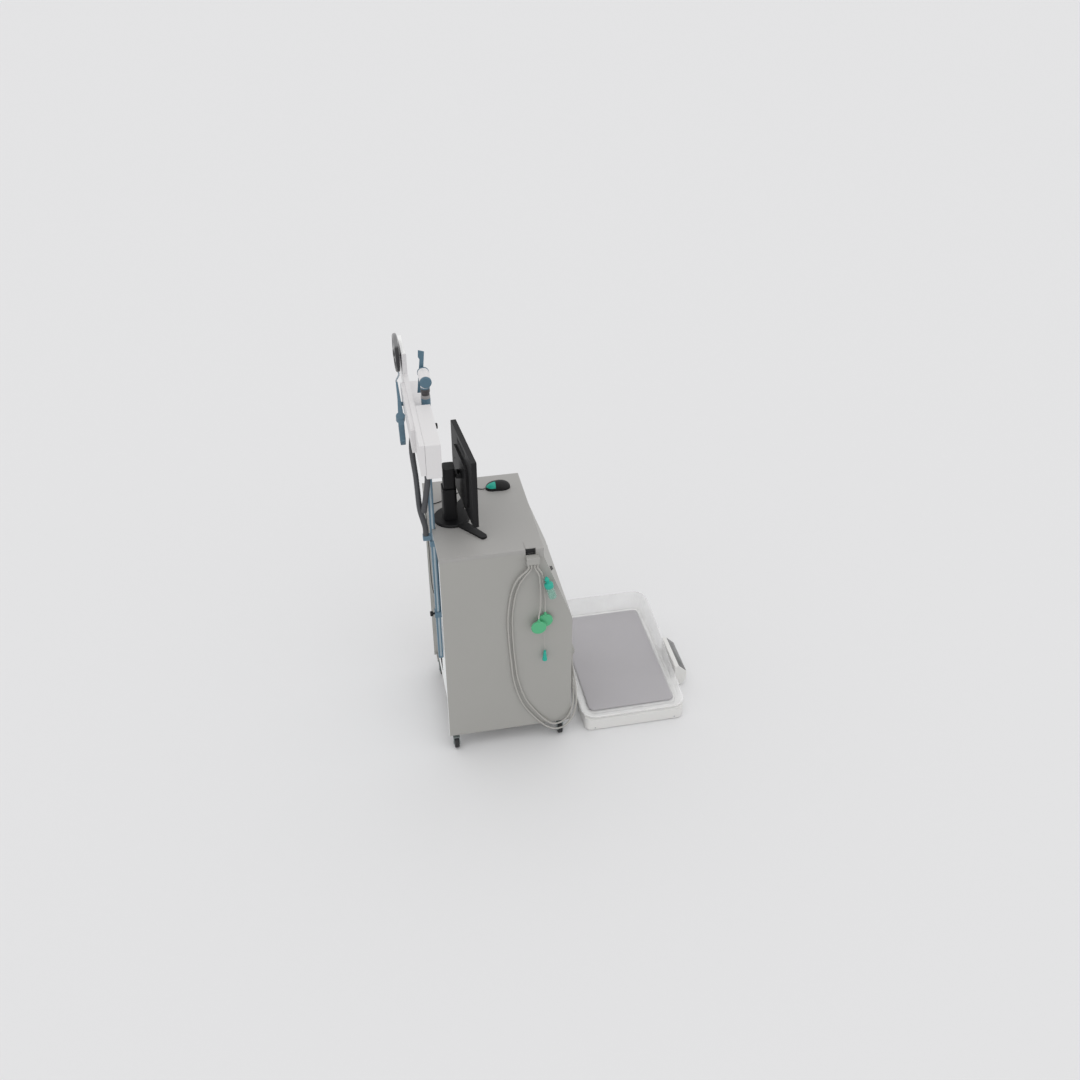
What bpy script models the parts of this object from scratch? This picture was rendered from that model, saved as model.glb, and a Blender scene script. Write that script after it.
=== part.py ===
"""Wheeled diagnostic cart with a mast arm, a monitor, side hoses and a tray scale.

Metres, +Z up, floor at z = 0. The user stands at -Y, so +Y is the back of the cart.
"""
import math

import bmesh
import bpy
from mathutils import Matrix, Vector

# --- driving sizes -------------------------------------------------------------
clearance = 0.0003
running = 0.0006

cabinet_width = 0.588
cabinet_height = 1.0
floor_gap = 0.085
top_depth = 0.435
bottom_depth = 0.562
lip_height = 0.041
slope_bottom = 0.694
panel = 0.018
back_recess = 0.018
back_thickness = 0.010
plinth_top = 0.300
stile_width = 0.085
door_gap = 0.002
hinge_radius = 0.004

notch_width = 0.044
notch_back = 0.358
notch_depth = 0.012
notch_height = 0.027
holder_height = 0.032
holder_reach = 0.028

wheel_radius = 0.0275
wheel_width = 0.020
axle_radius = 0.003
fork_trail = 0.024
fork_plate = 0.003
fork_top = 0.070
caster_wall_gap = 0.022
caster_rear = 0.030
caster_front = 0.514

mast_size = 0.022
mast_side = -0.057
mast_front_gap = 0.004
mast_bottom = 0.362
bracket_wall = 0.0035
bracket_height = 0.030
bracket_levels = (0.620, 1.010)
clip_height = 0.022
clip_gap = 0.0055

arm_bottom = 1.430
arm_height = 0.155
arm_near = -0.220
housing_length = 0.326
housing_back = 0.020
housing_front = -0.043
rail_thickness = 0.020
rail_length = 0.606
rail_rise = 0.018
cradle_back = 0.0565
cradle_near = -0.060
cradle_far = 0.352
end_plate_length = 0.183
end_plate_top = 1.679
end_plate_thickness = 0.0165
shelf_length = 0.280
shelf_thickness = 0.120
button_radius = 0.012
button_reach = 0.011

socket_side = 0.156
socket_front = -0.030
socket_radius = 0.0195
tube_radius = 0.0235
tube_length = 0.080
tube_level = 1.681
lever_width = 0.020
lever_thickness = 0.006
lever_lean = 0.018

hose_radius = 0.0125
long_tube_radius = 0.004
short_tube_radius = 0.0035
line_radius = 0.0011
disc_radius = 0.033
trap_radius = 0.017
trap_depth = 0.062
trap_lean = math.radians(15)
disc_thickness = 0.012

column_side = -0.002
column_front = -0.087
base_radius = 0.078
base_forward = 0.006
base_thickness = 0.012
sleeve_width = 0.066
sleeve_depth = 0.060
sleeve_height = 0.150
screen_width = 0.367
screen_height = 0.313
screen_rise = 0.062
screen_forward = 0.067
screen_yaw = math.radians(5.1)
tilt_radius = 0.009
tilt_half = 0.0157
tilt_forward = 0.0375
head_depth = 0.048
head_forward = 0.0035

mouse_length = 0.112
mouse_width = 0.062
mouse_height = 0.036
mouse_side = 0.190
mouse_front = -0.326
mouse_cable_radius = 0.0017

scale_width = 0.475
scale_length = 0.769
scale_front_gap = 0.073
scale_side = 0.0785
scale_height = 0.062
foot_height = 0.004
tray_wall = 0.0035
tray_low = 0.012
tray_high = 0.095
tray_flare = 0.0125
mat_thickness = 0.010
display_length = 0.220
display_reach = 0.0762
display_side = 0.017
display_top = 0.130
display_edge = 0.088

# --- places worked out from the sizes ------------------------------------------
half_width = cabinet_width / 2
top_level = floor_gap + cabinet_height
lip_level = top_level - lip_height
screen_bottom = top_level + screen_rise
mast_back = -back_recess + mast_front_gap + mast_size / 2
clip_level = bracket_levels[1] + bracket_height / 2 + 0.004
inner_half = half_width - panel - clearance
caster_side = half_width - panel - caster_wall_gap
caster_places = [
    (f"{end}_{side}", x, y)
    for end, y in (("rear", -caster_rear), ("front", -caster_front))
    for side, x in (("left", -caster_side), ("right", caster_side))
]
scale_back = -(bottom_depth + scale_front_gap)
scale_front = scale_back - scale_width
scale_centre_y = (scale_back + scale_front) / 2
trap_reach = 0.038
arm_far = arm_near + rail_length + end_plate_length
handle_middle = 0.076
handle_half = 0.014
lobe_radius = 0.019
shift = Vector((
    -(arm_far - half_width - trap_reach - trap_radius - 0.002) / 2,
    -(handle_middle + lobe_radius + scale_front - display_reach) / 2,
    0.0,
))

parts = None
cutters = None
pivots = {}


# --- helpers -------------------------------------------------------------------
def clear_scene():
    for old in list(bpy.data.objects):
        bpy.data.objects.remove(old, do_unlink=True)


def material(name, colour, roughness, metallic=0.0):
    found = bpy.data.materials.get(name)
    if found:
        return found
    made = bpy.data.materials.new(name)
    made.use_nodes = True
    shader = made.node_tree.nodes["Principled BSDF"]
    shader.inputs["Base Color"].default_value = (*colour, 1.0)
    shader.inputs["Roughness"].default_value = roughness
    shader.inputs["Metallic"].default_value = metallic
    return made


def pivot(name, place, parent="cart"):
    """An empty on a joint's axis, which carries the pieces that move about it."""
    empty = bpy.data.objects.new(name + "_pivot", None)
    parts.objects.link(empty)
    empty.empty_display_size = 0.03
    pivots[name] = (empty, Vector(place))
    if parent:
        carrier, origin = pivots[parent]
        empty.parent = carrier
        empty.location = Vector(place) - origin
    return empty


def put(obj, place, parent="cart"):
    carrier, origin = pivots[parent]
    obj.parent = carrier
    obj.location = Vector(place) - origin
    return obj


def smooth(mesh, angle=35):
    mesh.shade_smooth()
    mesh.set_sharp_from_angle(angle=math.radians(angle))


def add(name, mesh, paint, place=(0, 0, 0), parent="cart"):
    obj = bpy.data.objects.new(name, mesh)
    obj.data.materials.append(paint)
    parts.objects.link(obj)
    return put(obj, place, parent)


def box_mesh(name, size):
    shape = bmesh.new()
    bmesh.ops.create_cube(shape, size=1.0, matrix=Matrix.Diagonal((*size, 1.0)))
    mesh = bpy.data.meshes.new(name)
    shape.to_mesh(mesh)
    shape.free()
    return mesh


def box(name, low, high, paint, parent="cart", bevel=0.0, segments=2):
    low, high = Vector(low), Vector(high)
    obj = add(name, box_mesh(name, high - low), paint, (low + high) / 2, parent)
    if bevel:
        soften(obj, bevel, segments)
    return obj


def soften(obj, width, segments=2, angle=40):
    bevel = obj.modifiers.new("edges", "BEVEL")
    bevel.width = width
    bevel.segments = segments
    bevel.limit_method = "ANGLE"
    bevel.angle_limit = math.radians(angle)
    return bevel


def baked(obj):
    """The object's own mesh with its modifiers or curve made real."""
    bpy.context.view_layer.update()
    graph = bpy.context.evaluated_depsgraph_get()
    mesh = bpy.data.meshes.new_from_object(obj.evaluated_get(graph), depsgraph=graph)
    shape = bmesh.new()
    shape.from_mesh(mesh)
    bmesh.ops.remove_doubles(shape, verts=shape.verts, dist=0.00001)
    bmesh.ops.recalc_face_normals(shape, faces=shape.faces)
    shape.to_mesh(mesh)
    shape.free()
    return mesh


def outline_mesh(name, points, thickness):
    """A flat outline in XY, extruded evenly either side of z = 0."""
    curve = bpy.data.curves.new(name, "CURVE")
    curve.dimensions = "2D"
    curve.fill_mode = "BOTH"
    curve.extrude = thickness / 2
    spline = curve.splines.new("POLY")
    spline.points.add(len(points) - 1)
    for point, (x, y) in zip(spline.points, points):
        point.co = (x, y, 0.0, 1.0)
    spline.use_cyclic_u = True
    holder = bpy.data.objects.new(name + "_outline", curve)
    bpy.context.scene.collection.objects.link(holder)
    mesh = baked(holder)
    bpy.data.objects.remove(holder, do_unlink=True)
    bpy.data.curves.remove(curve)
    mesh.name = name
    return mesh


def outline_x(name, points, low, high, paint, parent="cart"):
    """A (y, z) outline extruded along X from low to high."""
    mesh = outline_mesh(name, points, high - low)
    mesh.transform(Matrix(((0, 0, 1, 0), (1, 0, 0, 0), (0, 1, 0, 0), (0, 0, 0, 1))))
    return add(name, mesh, paint, ((low + high) / 2, 0, 0), parent)


def outline_y(name, points, low, high, paint, parent="cart"):
    """An (x, z) outline extruded along Y from low to high."""
    mesh = outline_mesh(name, points, high - low)
    mesh.transform(Matrix(((1, 0, 0, 0), (0, 0, -1, 0), (0, 1, 0, 0), (0, 0, 0, 1))))
    return add(name, mesh, paint, (0, (low + high) / 2, 0), parent)


def outline_z(name, points, low, high, paint, parent="cart"):
    """An (x, y) outline extruded along Z from low to high."""
    mesh = outline_mesh(name, points, high - low)
    return add(name, mesh, paint, (0, 0, (low + high) / 2), parent)


def corner_arc(centre, radius, start, steps):
    return [
        (
            centre[0] + radius * math.cos(start + math.pi / 2 * step / steps),
            centre[1] + radius * math.sin(start + math.pi / 2 * step / steps),
        )
        for step in range(steps + 1)
    ]


def rounded_rectangle(centre, width, depth, radius, steps=5):
    x, y = width / 2 - radius, depth / 2 - radius
    points = []
    for quarter, (side, front) in enumerate(((1, 1), (-1, 1), (-1, -1), (1, -1))):
        middle = (centre[0] + side * x, centre[1] + front * y)
        points += corner_arc(middle, radius, quarter * math.pi / 2, steps)
    return points


def turned_mesh(name, profile, steps=24):
    """A profile of (radius, height), top to bottom, turned about Z."""
    shape = bmesh.new()
    corners = [shape.verts.new((radius, 0.0, height)) for radius, height in profile]
    ring = profile[0][0] > 0
    pairs = list(zip(corners, corners[1:]))
    if ring:
        pairs.append((corners[-1], corners[0]))
    for first, second in pairs:
        shape.edges.new((first, second))
    mesh = bpy.data.meshes.new(name)
    shape.to_mesh(mesh)
    shape.free()
    holder = bpy.data.objects.new(name + "_profile", mesh)
    bpy.context.scene.collection.objects.link(holder)
    screw = holder.modifiers.new("turn", "SCREW")
    screw.steps = steps
    screw.render_steps = steps
    screw.use_merge_vertices = True
    screw.merge_threshold = 0.00001
    solid = baked(holder)
    bpy.data.objects.remove(holder, do_unlink=True)
    bpy.data.meshes.remove(mesh)
    solid.name = name
    smooth(solid)
    return solid


def turned(name, profile, place, paint, parent="cart", towards=(0, 0, 1), steps=24):
    obj = add(name, turned_mesh(name, profile, steps), paint, place, parent)
    obj.rotation_euler = Vector(towards).to_track_quat("Z", "Y").to_euler()
    return obj


def rod(name, radius, length, place, paint, parent="cart", towards=(0, 0, 1), steps=24):
    profile = [(0, length / 2), (radius, length / 2), (radius, -length / 2), (0, -length / 2)]
    return turned(name, profile, place, paint, parent, towards, steps)


def curve_through(points, spacing):
    """Points along a smooth curve through the route's own points."""
    ends = [2 * points[0] - points[1], *points, 2 * points[-1] - points[-2]]
    fine = []
    for a, b, c, d in zip(ends, ends[1:], ends[2:], ends[3:]):
        for step in range(16):
            t = step / 16
            fine.append(0.5 * (
                2 * b + (c - a) * t
                + (2 * a - 5 * b + 4 * c - d) * t * t
                + (3 * b - a - 3 * c + d) * t * t * t
            ))
    fine.append(points[-1])
    length = sum((q - p).length for p, q in zip(fine, fine[1:]))
    count = max(2, round(length / spacing))
    even, walked, target = [fine[0]], 0.0, length / count
    for p, q in zip(fine, fine[1:]):
        step = (q - p).length
        while walked + step >= target - 1e-9 and len(even) < count:
            even.append(p.lerp(q, (target - walked) / step))
            target += length / count
        walked += step
    return even + [points[-1]]


def cord_mesh(name, route, radius, spacing=3.0, sides=2):
    points = curve_through([Vector(point) for point in route], spacing * 2 * radius)
    curve = bpy.data.curves.new(name, "CURVE")
    curve.dimensions = "3D"
    curve.bevel_depth = radius
    curve.bevel_resolution = sides
    curve.use_fill_caps = True
    spline = curve.splines.new("POLY")
    spline.points.add(len(points) - 1)
    for point, place in zip(spline.points, points):
        point.co = (*place, 1.0)
    holder = bpy.data.objects.new(name + "_route", curve)
    bpy.context.scene.collection.objects.link(holder)
    mesh = baked(holder)
    bpy.data.objects.remove(holder, do_unlink=True)
    bpy.data.curves.remove(curve)
    mesh.name = name
    smooth(mesh, 60)
    return mesh


def facing(place, towards):
    return Matrix.Translation(place) @ Vector(towards).to_track_quat("Z", "Y").to_matrix().to_4x4()


def cutter(name, mesh, matrix):
    obj = bpy.data.objects.new(name, mesh)
    cutters.objects.link(obj)
    obj.matrix_world = matrix
    obj.hide_render = True
    obj.display_type = "WIRE"
    return obj


def cut(obj, tool, operation="DIFFERENCE"):
    boolean = obj.modifiers.new(tool.name, "BOOLEAN")
    boolean.operation = operation
    boolean.solver = "EXACT"
    boolean.object = tool
    return obj


def box_cutter(name, low, high):
    low, high = Vector(low), Vector(high)
    return cutter(name, box_mesh(name, high - low), Matrix.Translation((low + high) / 2 + shift))


def rod_cutter(name, radius, length, place, towards):
    profile = [(0, length / 2), (radius, length / 2), (radius, -length / 2), (0, -length / 2)]
    mesh = turned_mesh(name, profile)
    return cutter(name, mesh, facing(Vector(place) + shift, towards))


# --- cabinet -------------------------------------------------------------------
def cabinet():
    grey = material("cabinet_grey", (0.33, 0.33, 0.31), 0.45)
    pale = material("back_white", (0.74, 0.74, 0.72), 0.5)
    side_top = top_level - panel - clearance
    lip_back = -(top_depth - panel - clearance)
    profile = [
        (0, floor_gap),
        (0, side_top),
        (lip_back, side_top),
        (lip_back, lip_level - clearance),
        (-top_depth, lip_level - clearance),
        (-bottom_depth, slope_bottom),
        (-bottom_depth, floor_gap),
    ]
    left = outline_x("side_panel_left", profile, -half_width, -half_width + panel, grey)
    outline_x("side_panel_right", profile, half_width - panel, half_width, grey)

    top_profile = [
        (0, top_level),
        (0, top_level - panel),
        (-(top_depth - panel), top_level - panel),
        (-(top_depth - panel), lip_level),
        (-top_depth, lip_level),
        (-top_depth, top_level),
    ]
    worktop = outline_x("worktop", top_profile, -half_width, half_width, grey)

    notch = box_cutter(
        "hose_notch",
        (-half_width - 0.01, -notch_back - notch_width, top_level - notch_height),
        (-half_width + notch_depth, -notch_back, top_level + 0.01),
    )
    cut(left, notch)
    cut(worktop, notch)
    slot = box_cutter(
        "worktop_seam",
        (-half_width - 0.01, -notch_back - 0.0008, top_level - 0.002),
        (-half_width + 0.058, -notch_back + 0.0008, top_level + 0.01),
    )
    cut(worktop, slot)
    half = mast_size / 2 + 0.0015
    mast_notch = box_cutter(
        "mast_notch",
        (mast_side - half, mast_back - half, top_level - 0.1),
        (mast_side + half, 0.02, top_level + 0.01),
    )
    cut(worktop, mast_notch)

    floor_top = floor_gap + panel
    front_back = -(bottom_depth - panel - clearance)
    bottom = box(
        "bottom_panel",
        (-inner_half, front_back, floor_gap),
        (inner_half, -back_recess, floor_top),
        grey,
    )
    for name, x, y in caster_places:
        plate = box_cutter(
            "caster_plate_" + name,
            (x - 0.020, y - 0.020, floor_gap - 0.0035),
            (x + 0.020, y + 0.020, floor_gap + 0.001),
        )
        cut(bottom, plate, "UNION")
        stem_low = fork_top + clearance
        stem_length = floor_gap - stem_low
        stem = rod_cutter(
            "caster_stem_" + name, 0.009, stem_length, (x, y, stem_low + stem_length / 2), (0, 0, 1)
        )
        cut(bottom, stem, "UNION")
    back = box(
        "back_panel",
        (-inner_half, -back_recess - back_thickness, floor_top + clearance),
        (inner_half, -back_recess, side_top),
        pale,
    )
    gland = rod_cutter("cable_hole", 0.004, 0.1, cable_exit, (0, 1, 0))
    cut(back, gland)

    drop = slope_bottom - lip_level
    run = bottom_depth - top_depth
    inset = panel * math.hypot(drop, run) / abs(drop)
    slope = [
        (-top_depth, lip_level - clearance),
        (-bottom_depth, slope_bottom),
        (-bottom_depth + inset, slope_bottom),
        (-top_depth + inset, lip_level - clearance),
    ]
    outline_x("console_panel", slope, -inner_half, inner_half, grey)

    stile_inner = -inner_half + stile_width
    frame = outline_y(
        "front_frame",
        [
            (-inner_half, floor_gap),
            (inner_half, floor_gap),
            (inner_half, plinth_top),
            (stile_inner, plinth_top),
            (stile_inner, slope_bottom - clearance),
            (-inner_half, slope_bottom - clearance),
        ],
        -bottom_depth,
        -bottom_depth + panel,
        grey,
    )
    ports = box_cutter(
        "port_block",
        (hose_ports[0] - 0.011, -bottom_depth - 0.017, port_level),
        (hose_ports[1] + 0.011, -bottom_depth + 0.001, port_level + 0.024),
    )
    cut(frame, ports, "UNION")


def door():
    grey = material("cabinet_grey", (0.33, 0.33, 0.31), 0.45)
    left = -inner_half + stile_width + door_gap
    right = inner_half - door_gap
    low = plinth_top + door_gap
    high = slope_bottom - door_gap
    axis = (half_width - panel / 2 - 0.002, -bottom_depth - hinge_radius - 0.0018, (low + high) / 2)
    pivot("door", axis)
    leaf = box("front_door", (left, -bottom_depth, low), (right, -bottom_depth + panel, high), grey, "door")
    grip = box_cutter(
        "door_grip",
        (left + 0.025, -bottom_depth - 0.01, high - 0.075),
        (left + 0.145, -bottom_depth + 0.011, high - 0.045),
    )
    cut(leaf, grip)
    knuckle = 0.016
    frame = bpy.data.objects["side_panel_right"]
    for index, level in enumerate((low + 0.05, high - 0.05)):
        fixed = rod_cutter(f"fixed_knuckle_{index}", hinge_radius, knuckle, (axis[0], axis[1], level), (0, 0, 1))
        cut(frame, fixed, "UNION")
        plate = box_cutter(
            f"hinge_plate_{index}",
            (axis[0] - 0.0005, axis[1] - 0.0008, level - knuckle / 2 + 0.001),
            (half_width - 0.002, -bottom_depth + 0.001, level + knuckle / 2 - 0.001),
        )
        cut(frame, plate, "UNION")
        for side in (-1, 1):
            middle = level + side * (knuckle + running)
            place = (axis[0], axis[1], middle)
            turning = rod_cutter(f"door_knuckle_{index}_{side}", hinge_radius, knuckle, place, (0, 0, 1))
            cut(leaf, turning, "UNION")
            tab = box_cutter(
                f"door_tab_{index}_{side}",
                (right - 0.020, axis[1] - 0.0008, middle - knuckle / 2 + 0.001),
                (axis[0], -bottom_depth - clearance, middle + knuckle / 2 - 0.001),
            )
            cut(leaf, tab, "UNION")
            root = box_cutter(
                f"door_root_{index}_{side}",
                (right - 0.019, axis[1] + 0.001, middle - knuckle / 2 + 0.002),
                (right - 0.001, -bottom_depth + 0.001, middle + knuckle / 2 - 0.002),
            )
            cut(leaf, root, "UNION")


def console_controls():
    dark = material("dark_plastic", (0.04, 0.04, 0.045), 0.4)
    drop = Vector((0, -(bottom_depth - top_depth), slope_bottom - lip_level)).normalized()
    outward = Vector((0, drop.z, -drop.y))
    start = Vector((0, -top_depth, lip_level))
    place = start + drop * 0.115 + outward * clearance + Vector((-half_width + 0.052, 0, 0))
    pivot("console_knob", place)
    profile = [(0, 0.010), (0.007, 0.010), (0.008, 0.009), (0.009, 0.002), (0.011, 0.0015), (0.011, 0), (0, 0)]
    turned("console_knob", profile, place, dark, "console_knob", outward)


def inside_units():
    case = material("unit_case", (0.16, 0.17, 0.18), 0.5)
    light = material("module_case", (0.62, 0.63, 0.62), 0.5)
    base = floor_gap + panel + clearance
    box("computer_unit", (0.060, -0.400, base), (0.240, -0.060, base + 0.340), case, bevel=0.004)
    box("analyser_module", (-0.235, -0.380, base), (0.020, -0.080, base + 0.300), light, bevel=0.004)


# --- casters -------------------------------------------------------------------
def casters():
    steel = material("caster_grey", (0.30, 0.33, 0.33), 0.4, 0.3)
    rubber = material("wheel_black", (0.02, 0.02, 0.022), 0.55)
    cheek = wheel_width / 2 + 0.0015
    for name, x, y in caster_places:
        swivel = "caster_" + name
        pivot(swivel, (x, y, fork_top))
        crown = rod(
            "caster_fork_" + name, 0.019, 0.008, (x, y, fork_top - 0.004), steel, swivel, steps=20
        )
        hub = x - fork_trail
        bridge = box_cutter(
            "bridge_" + name,
            (hub - 0.012, y - cheek - fork_plate - 0.0003, fork_top - 0.0085),
            (x + 0.013, y + cheek + fork_plate + 0.0003, fork_top - 0.0045),
        )
        cut(crown, bridge, "UNION")
        for side in (-1, 1):
            inner = y + side * cheek
            outer = y + side * (cheek + fork_plate)
            lug = box_cutter(
                f"lug_{name}_{side}",
                (hub - 0.0115, min(inner, outer), wheel_radius - 0.006),
                (hub + 0.010, max(inner, outer), fork_top - 0.006),
            )
            cut(crown, lug, "UNION")
        axle_length = 2 * (cheek + fork_plate) + 0.001
        axle = rod_cutter("axle_" + name, axle_radius, axle_length, (hub, y, wheel_radius), (0, 1, 0))
        cut(crown, axle, "UNION")

        roll = "wheel_" + name
        pivot(roll, (hub, y, wheel_radius), swivel)
        bore = axle_radius + clearance
        half = wheel_width / 2
        profile = [
            (wheel_radius - 0.003, half),
            (wheel_radius, half - 0.003),
            (wheel_radius, -half + 0.003),
            (wheel_radius - 0.003, -half),
            (bore, -half),
            (bore, half),
        ]
        turned("caster_wheel_" + name, profile, (hub, y, wheel_radius), rubber, roll, (0, 1, 0), 28)


# --- mast and arm --------------------------------------------------------------
def mast():
    blue = material("mast_blue", (0.12, 0.19, 0.25), 0.4, 0.4)
    dark = material("dark_plastic", (0.04, 0.04, 0.045), 0.4)
    half = mast_size / 2
    hole = half + 0.0004
    front = -back_recess + clearance
    rear = mast_back + hole + bracket_wall
    reach = hole + bracket_wall
    holder = box(
        "mast_bracket",
        (mast_side - reach, front, bracket_levels[0] - bracket_height / 2),
        (mast_side + reach, mast_back - hole - 0.001, bracket_levels[1] + bracket_height / 2),
        blue,
    )
    for index, level in enumerate(bracket_levels):
        collar = box_cutter(
            f"mast_collar_{index}",
            (mast_side - reach, front + 0.001, level - bracket_height / 2),
            (mast_side + reach, rear, level + bracket_height / 2),
        )
        cut(holder, collar, "UNION")
    channel = box_cutter(
        "mast_channel",
        (mast_side - hole, mast_back - hole, bracket_levels[0] - 0.1),
        (mast_side + hole, mast_back + hole, bracket_levels[1] + 0.1),
    )
    cut(holder, channel)
    pivot("mast", (mast_side, mast_back, mast_bottom))
    tube = box(
        "mast",
        (mast_side - half, mast_back - half, mast_bottom),
        (mast_side + half, mast_back + half, arm_bottom - clearance),
        blue,
        "mast",
        0.002,
        1,
    )
    clip = box_cutter(
        "hose_clip",
        (mast_side - hose_radius, mast_back + half - 0.001, clip_level),
        (mast_side + hose_radius, mast_back + half + 2 * hose_radius + clip_gap + 0.001, clip_level + clip_height),
    )
    cut(tube, clip, "UNION")
    knob_y = mast_back + hole + bracket_wall + clearance
    knob_place = (mast_side, knob_y, bracket_levels[0])
    pivot("mast_knob", knob_place)
    profile = [(0, 0.020), (0.010, 0.020), (0.012, 0.017), (0.012, 0.008), (0.005, 0.006), (0.005, 0), (0, 0)]
    turned("mast_knob", profile, knob_place, dark, "mast_knob", (0, 1, 0), 20)


def arm():
    white = material("arm_white", (0.80, 0.80, 0.80), 0.4)
    dark = material("dark_plastic", (0.04, 0.04, 0.045), 0.4)
    pivot("arm", (mast_side, mast_back, arm_bottom), "mast")
    arm_top = arm_bottom + arm_height
    rail_front = housing_back + clearance
    rail_back = rail_front + rail_thickness
    shelf_start = arm_near + housing_length
    housing = outline_y(
        "arm_housing",
        [
            (arm_near, arm_bottom),
            (shelf_start + shelf_length, arm_bottom),
            (shelf_start + shelf_length, arm_bottom + shelf_thickness),
            (shelf_start, arm_bottom + shelf_thickness),
            (shelf_start, arm_top),
            (arm_near, arm_top),
        ],
        housing_front,
        housing_back,
        white,
        "arm",
    )
    soften(housing, 0.004, 2)
    rail_end = arm_near + rail_length
    plate_front = rail_back - end_plate_thickness
    rail = outline_y(
        "arm_rail",
        [
            (arm_near, arm_bottom + rail_rise),
            (arm_far, arm_bottom + rail_rise + 0.06),
            (arm_far, end_plate_top),
            (rail_end, end_plate_top),
            (rail_end, arm_top),
            (arm_near, arm_top),
        ],
        rail_front,
        rail_back,
        white,
        "arm",
    )
    thin = box_cutter(
        "end_plate_front",
        (rail_end + 0.004, rail_front - 0.01, arm_bottom),
        (arm_far + 0.01, plate_front, end_plate_top + 0.01),
    )
    cut(rail, thin)
    rise = 0.06 / (arm_far - arm_near)

    def under(x):
        return arm_bottom + rail_rise + 0.002 + (x - arm_near) * rise

    cradle = outline_mesh(
        "handpiece_cradle",
        [
            (cradle_near, under(cradle_near)),
            (cradle_far - 0.022, under(cradle_far - 0.022)),
            (cradle_far, under(cradle_far) + 0.018),
            (cradle_far, arm_top - 0.020),
            (cradle_far - 0.022, arm_top - 0.010),
            (cradle_near + 0.040, arm_top - 0.010),
            (cradle_near, arm_top - 0.020),
        ],
        cradle_back - rail_back + 0.001,
    )
    cradle.transform(Matrix(((1, 0, 0, 0), (0, 0, -1, 0), (0, 1, 0, 0), (0, 0, 0, 1))))
    place = Vector((0, (rail_back - 0.001 + cradle_back) / 2, 0)) + shift
    cut(rail, cutter("handpiece_cradle", cradle, Matrix.Translation(place)), "UNION")
    button_place = (arm_near + housing_length * 0.60, housing_front + 0.0015, arm_top - 0.030)
    pocket = rod_cutter("button_pocket", button_radius + clearance, 0.008, button_place, (0, 1, 0))
    cut(housing, pocket)
    pivot("arm_button", button_place, "arm")
    reach = button_reach + 0.0015
    profile = [
        (0, reach),
        (button_radius - 0.002, reach),
        (button_radius, reach - 0.002),
        (button_radius, 0),
        (0, 0),
    ]
    turned("arm_button", profile, button_place, dark, "arm_button", (0, -1, 0), 20)


def flow_head():
    blue = material("slate_blue", (0.10, 0.17, 0.23), 0.45)
    white = material("arm_white", (0.80, 0.80, 0.80), 0.4)
    base = arm_bottom + shelf_thickness + clearance
    top = tube_level - tube_radius - 0.018
    profile = [
        (0, top),
        (socket_radius, top),
        (socket_radius, top - 0.022),
        (socket_radius - 0.002, top - 0.024),
        (socket_radius - 0.002, top - 0.040),
        (socket_radius, top - 0.042),
        (socket_radius, base),
        (0, base),
    ]
    turned("swivel_socket", profile, (socket_side, socket_front, 0), blue, "arm", steps=28)

    pivot("flow_tube", (socket_side, socket_front, tube_level), "arm")
    neck_top = tube_level - tube_radius + 0.004
    neck = turned_mesh(
        "tube_neck",
        [
            (0, neck_top),
            (socket_radius - 0.004, neck_top),
            (socket_radius - 0.001, top + 0.012),
            (socket_radius - 0.001, top + clearance),
            (0, top + clearance),
        ],
        24,
    )
    tube = rod(
        "flow_tube", tube_radius, tube_length, (socket_side, socket_front, tube_level), white, "flow_tube",
        (1, 0, 0), 28,
    )
    place = Matrix.Translation(Vector((socket_side, socket_front, 0)) + shift)
    cut(tube, cutter("tube_neck", neck, place), "UNION")
    cap = [
        (0, 0.010),
        (tube_radius - 0.003, 0.010),
        (tube_radius + 0.001, 0.007),
        (tube_radius + 0.001, 0),
        (0, 0),
    ]
    for name, side in (("tube_cap_near", -1), ("tube_cap_far", 1)):
        edge = socket_side + side * (tube_length / 2 + clearance)
        turned(name, cap, (edge, socket_front, tube_level), blue, "flow_tube", (side, 0, 0), 28)

    lever_x = socket_side + tube_length / 2 + 0.010 + 3 * clearance
    pivot("shutter_lever", (lever_x, socket_front, tube_level), "flow_tube")
    half = lever_width / 2
    low = arm_bottom + arm_height + 0.001
    high = tube_level + 0.097
    outline = [
        (socket_front + lever_lean - half, low),
        (socket_front + lever_lean + half, low),
        (socket_front + half, high - 0.040),
        (socket_front + half + 0.006, high - 0.030),
        (socket_front + half + 0.004, high),
        (socket_front - half, high - 0.008),
    ]
    outline_x("shutter_lever", outline, lever_x, lever_x + lever_thickness, blue, "shutter_lever")


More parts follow.
